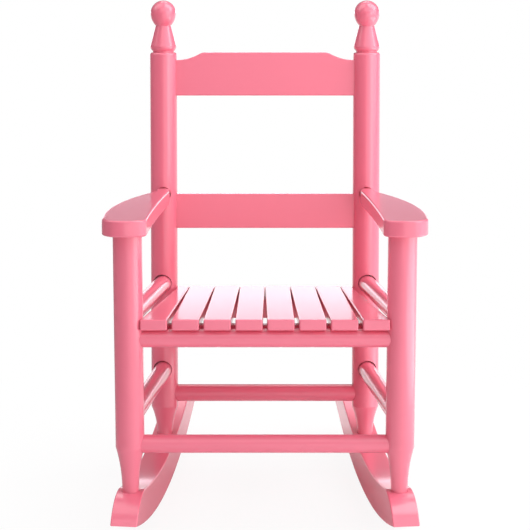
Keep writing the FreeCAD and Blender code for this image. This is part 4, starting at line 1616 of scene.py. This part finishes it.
@dataclass
class Studio:
    """White sweep, soft lights and the camera at the photograph's angle, in metres."""

    camera_spot: tuple = (0.0, -2.79904, 1.03844)
    camera_pitch: float = 15.073
    lens: float = 162.897
    sensor_width: float = 36.0
    world_strength: float = 0.46
    sky_climb: Ramp = Ramp(0.5, 0.5)
    sky_tones: tuple = ((0.0, 0.5), (0.5, 0.42), (1.0, 0.8))
    dim: tuple = (0.2, 0.14, 0.18, 1.0)
    dim_behind: Ramp = Ramp(2.0, 0.0)
    dim_low: Ramp = Ramp(-3.0, 1.0)
    floor_size: float = 16.0
    floor_drop: float = 0.0004
    floor_tones: tuple = (0.95, 0.9, 0.2)
    whitening: Ramp = Ramp(0.25, 0.86)
    gleam_behind: Ramp = Ramp(2.0, 0.0)
    gleam_right: Ramp = Ramp(1.2, 0.8)
    gleam_far: Ramp = Ramp(-0.25, 2.0, low=0.3)
    gleam_white: Ramp = Ramp(1.5, -0.4)
    lamps: tuple = (
        Lamp("key", (2.6, -1.2, 1.3), (3.6, 2.0), 42.0),
        Lamp("low", (1.35, -0.5, 0.01), (1.3, 1.4), 13.0, aim=(1.35, -0.5, 1.0)),
        Lamp("front", (0.4, -2.0, 2.6), (3.6, 2.0), 23.0),
        Lamp("card", (1.9, -3.8, 0.72), (5.0, 1.44), 27.0),
        Lamp("top_right", (1.3, 0.2, 2.2), (1.5, 2.4), 37.0),
        Lamp("top_left", (-1.3, 0.2, 2.2), (1.5, 2.4), 16.0),
        Lamp("rim", (0.0, 2.4, 2.9), (1.6, 1.0), 12.0),
        Lamp("horizon", (0.0, 3.2, 0.2), (4.4, 0.2), 8.4, (1.0, 0.89, 0.97)),
    )

    def ground(self) -> None:
        """Pale floor that shows as white, keeps a soft shadow and gleams in the paint."""
        mesh = bpy.data.meshes.new("floor")
        half = self.floor_size / 2
        corners = [(*spot, -self.floor_drop) for spot in rectangle(half, -half, half)]
        mesh.from_pydata(corners, [], [(0, 1, 2, 3)])
        floor = linked("floor", mesh)
        material = bpy.data.materials.new("pale_floor")
        bench = Bench.of(material)
        pale, soft, dark = (
            bench.node("ShaderNodeBsdfDiffuse", {"Color": grey(tone)})[0] for tone in self.floor_tones)
        white = bench.node("ShaderNodeEmission", {"Color": grey(1.0), "Strength": 1.0})[0]
        spot = bench.source("ShaderNodeTexCoord", "Object")
        across, depth, _ = bench.node("ShaderNodeSeparateXYZ", {0: spot})
        _, far = bench.node("ShaderNodeVectorMath", {0: spot}, operation="LENGTH")
        gleam = self.gleam_behind.of(depth - across.size()).most(self.gleam_right.of(across))
        bright = bench.mix(self.gleam_white.of(far), pale, white)
        mirrored = bench.mix(gleam * self.gleam_far.of(far), dark, bright)
        unseen = bench.mix(bench.source("ShaderNodeLightPath", "Is Glossy Ray"), soft, mirrored)
        shown = bench.mix(self.whitening.of(far), pale, white)
        shader = bench.mix(bench.source("ShaderNodeLightPath", "Is Camera Ray"), unseen, shown)
        bench.node("ShaderNodeOutputMaterial", {"Surface": shader})
        mesh.materials.append(material)

    def sky(self) -> None:
        """World light: soft all round, dim low behind, and white where the camera sees it."""
        world = bpy.data.worlds.new("white_room")
        bpy.context.scene.world = world
        bench = Bench.of(world)
        direction = bench.source("ShaderNodeTexCoord", "Generated")
        _, depth, height = bench.node("ShaderNodeSeparateXYZ", {0: direction})
        stops = [(place, grey(tone)) for place, tone in self.sky_tones]
        tone = bench.node("ShaderNodeValToRGB", {0: self.sky_climb.of(height)}, stops=stops)[0]
        lights = ((tone, self.world_strength), (self.dim, self.world_strength), (grey(1.0), 1.0))
        lit, dim, white = (
            bench.node("ShaderNodeBackground", {"Color": colour, "Strength": strength})[0]
            for colour, strength in lights)
        room = bench.mix(self.dim_behind.of(depth) * self.dim_low.of(height), lit, dim)
        shader = bench.mix(bench.source("ShaderNodeLightPath", "Is Camera Ray"), room, white)
        bench.node("ShaderNodeOutputWorld", {"Surface": shader})

    def build(self) -> None:
        """Set up floor, lights and camera."""
        scene = bpy.context.scene
        scene.view_settings.view_transform = "Standard"
        self.ground()
        self.sky()
        for lamp in self.lamps:
            lamp.build()
        data = bpy.data.cameras.new("camera")
        data.lens = self.lens
        data.sensor_width = self.sensor_width
        camera = linked("camera", data)
        camera.location = self.camera_spot
        camera.rotation_euler = (math.radians(90 - self.camera_pitch), 0.0, 0.0)
        scene.camera = camera


def main() -> None:
    """Load the frame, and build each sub-assembly and the studio."""
    logging.basicConfig(level=logging.INFO, format="%(name)s: %(message)s")
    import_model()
    shared = (Layout(), Finishes())
    rungs, posts, rails, arms, seat, rockers = (
        kind(*shared) for kind in (Rungs, Posts, BackRails, Arms, Seat, Rockers))
    rockers.build(posts)
    posts.build(rungs, rails, arms)
    rungs.build(seat)
    rails.build()
    arms.build()
    seat.build()
    seat.build_cleats()
    Screws(*shared, seat, rockers).build()
    Studio().build()


if __name__ == "__main__":
    main()
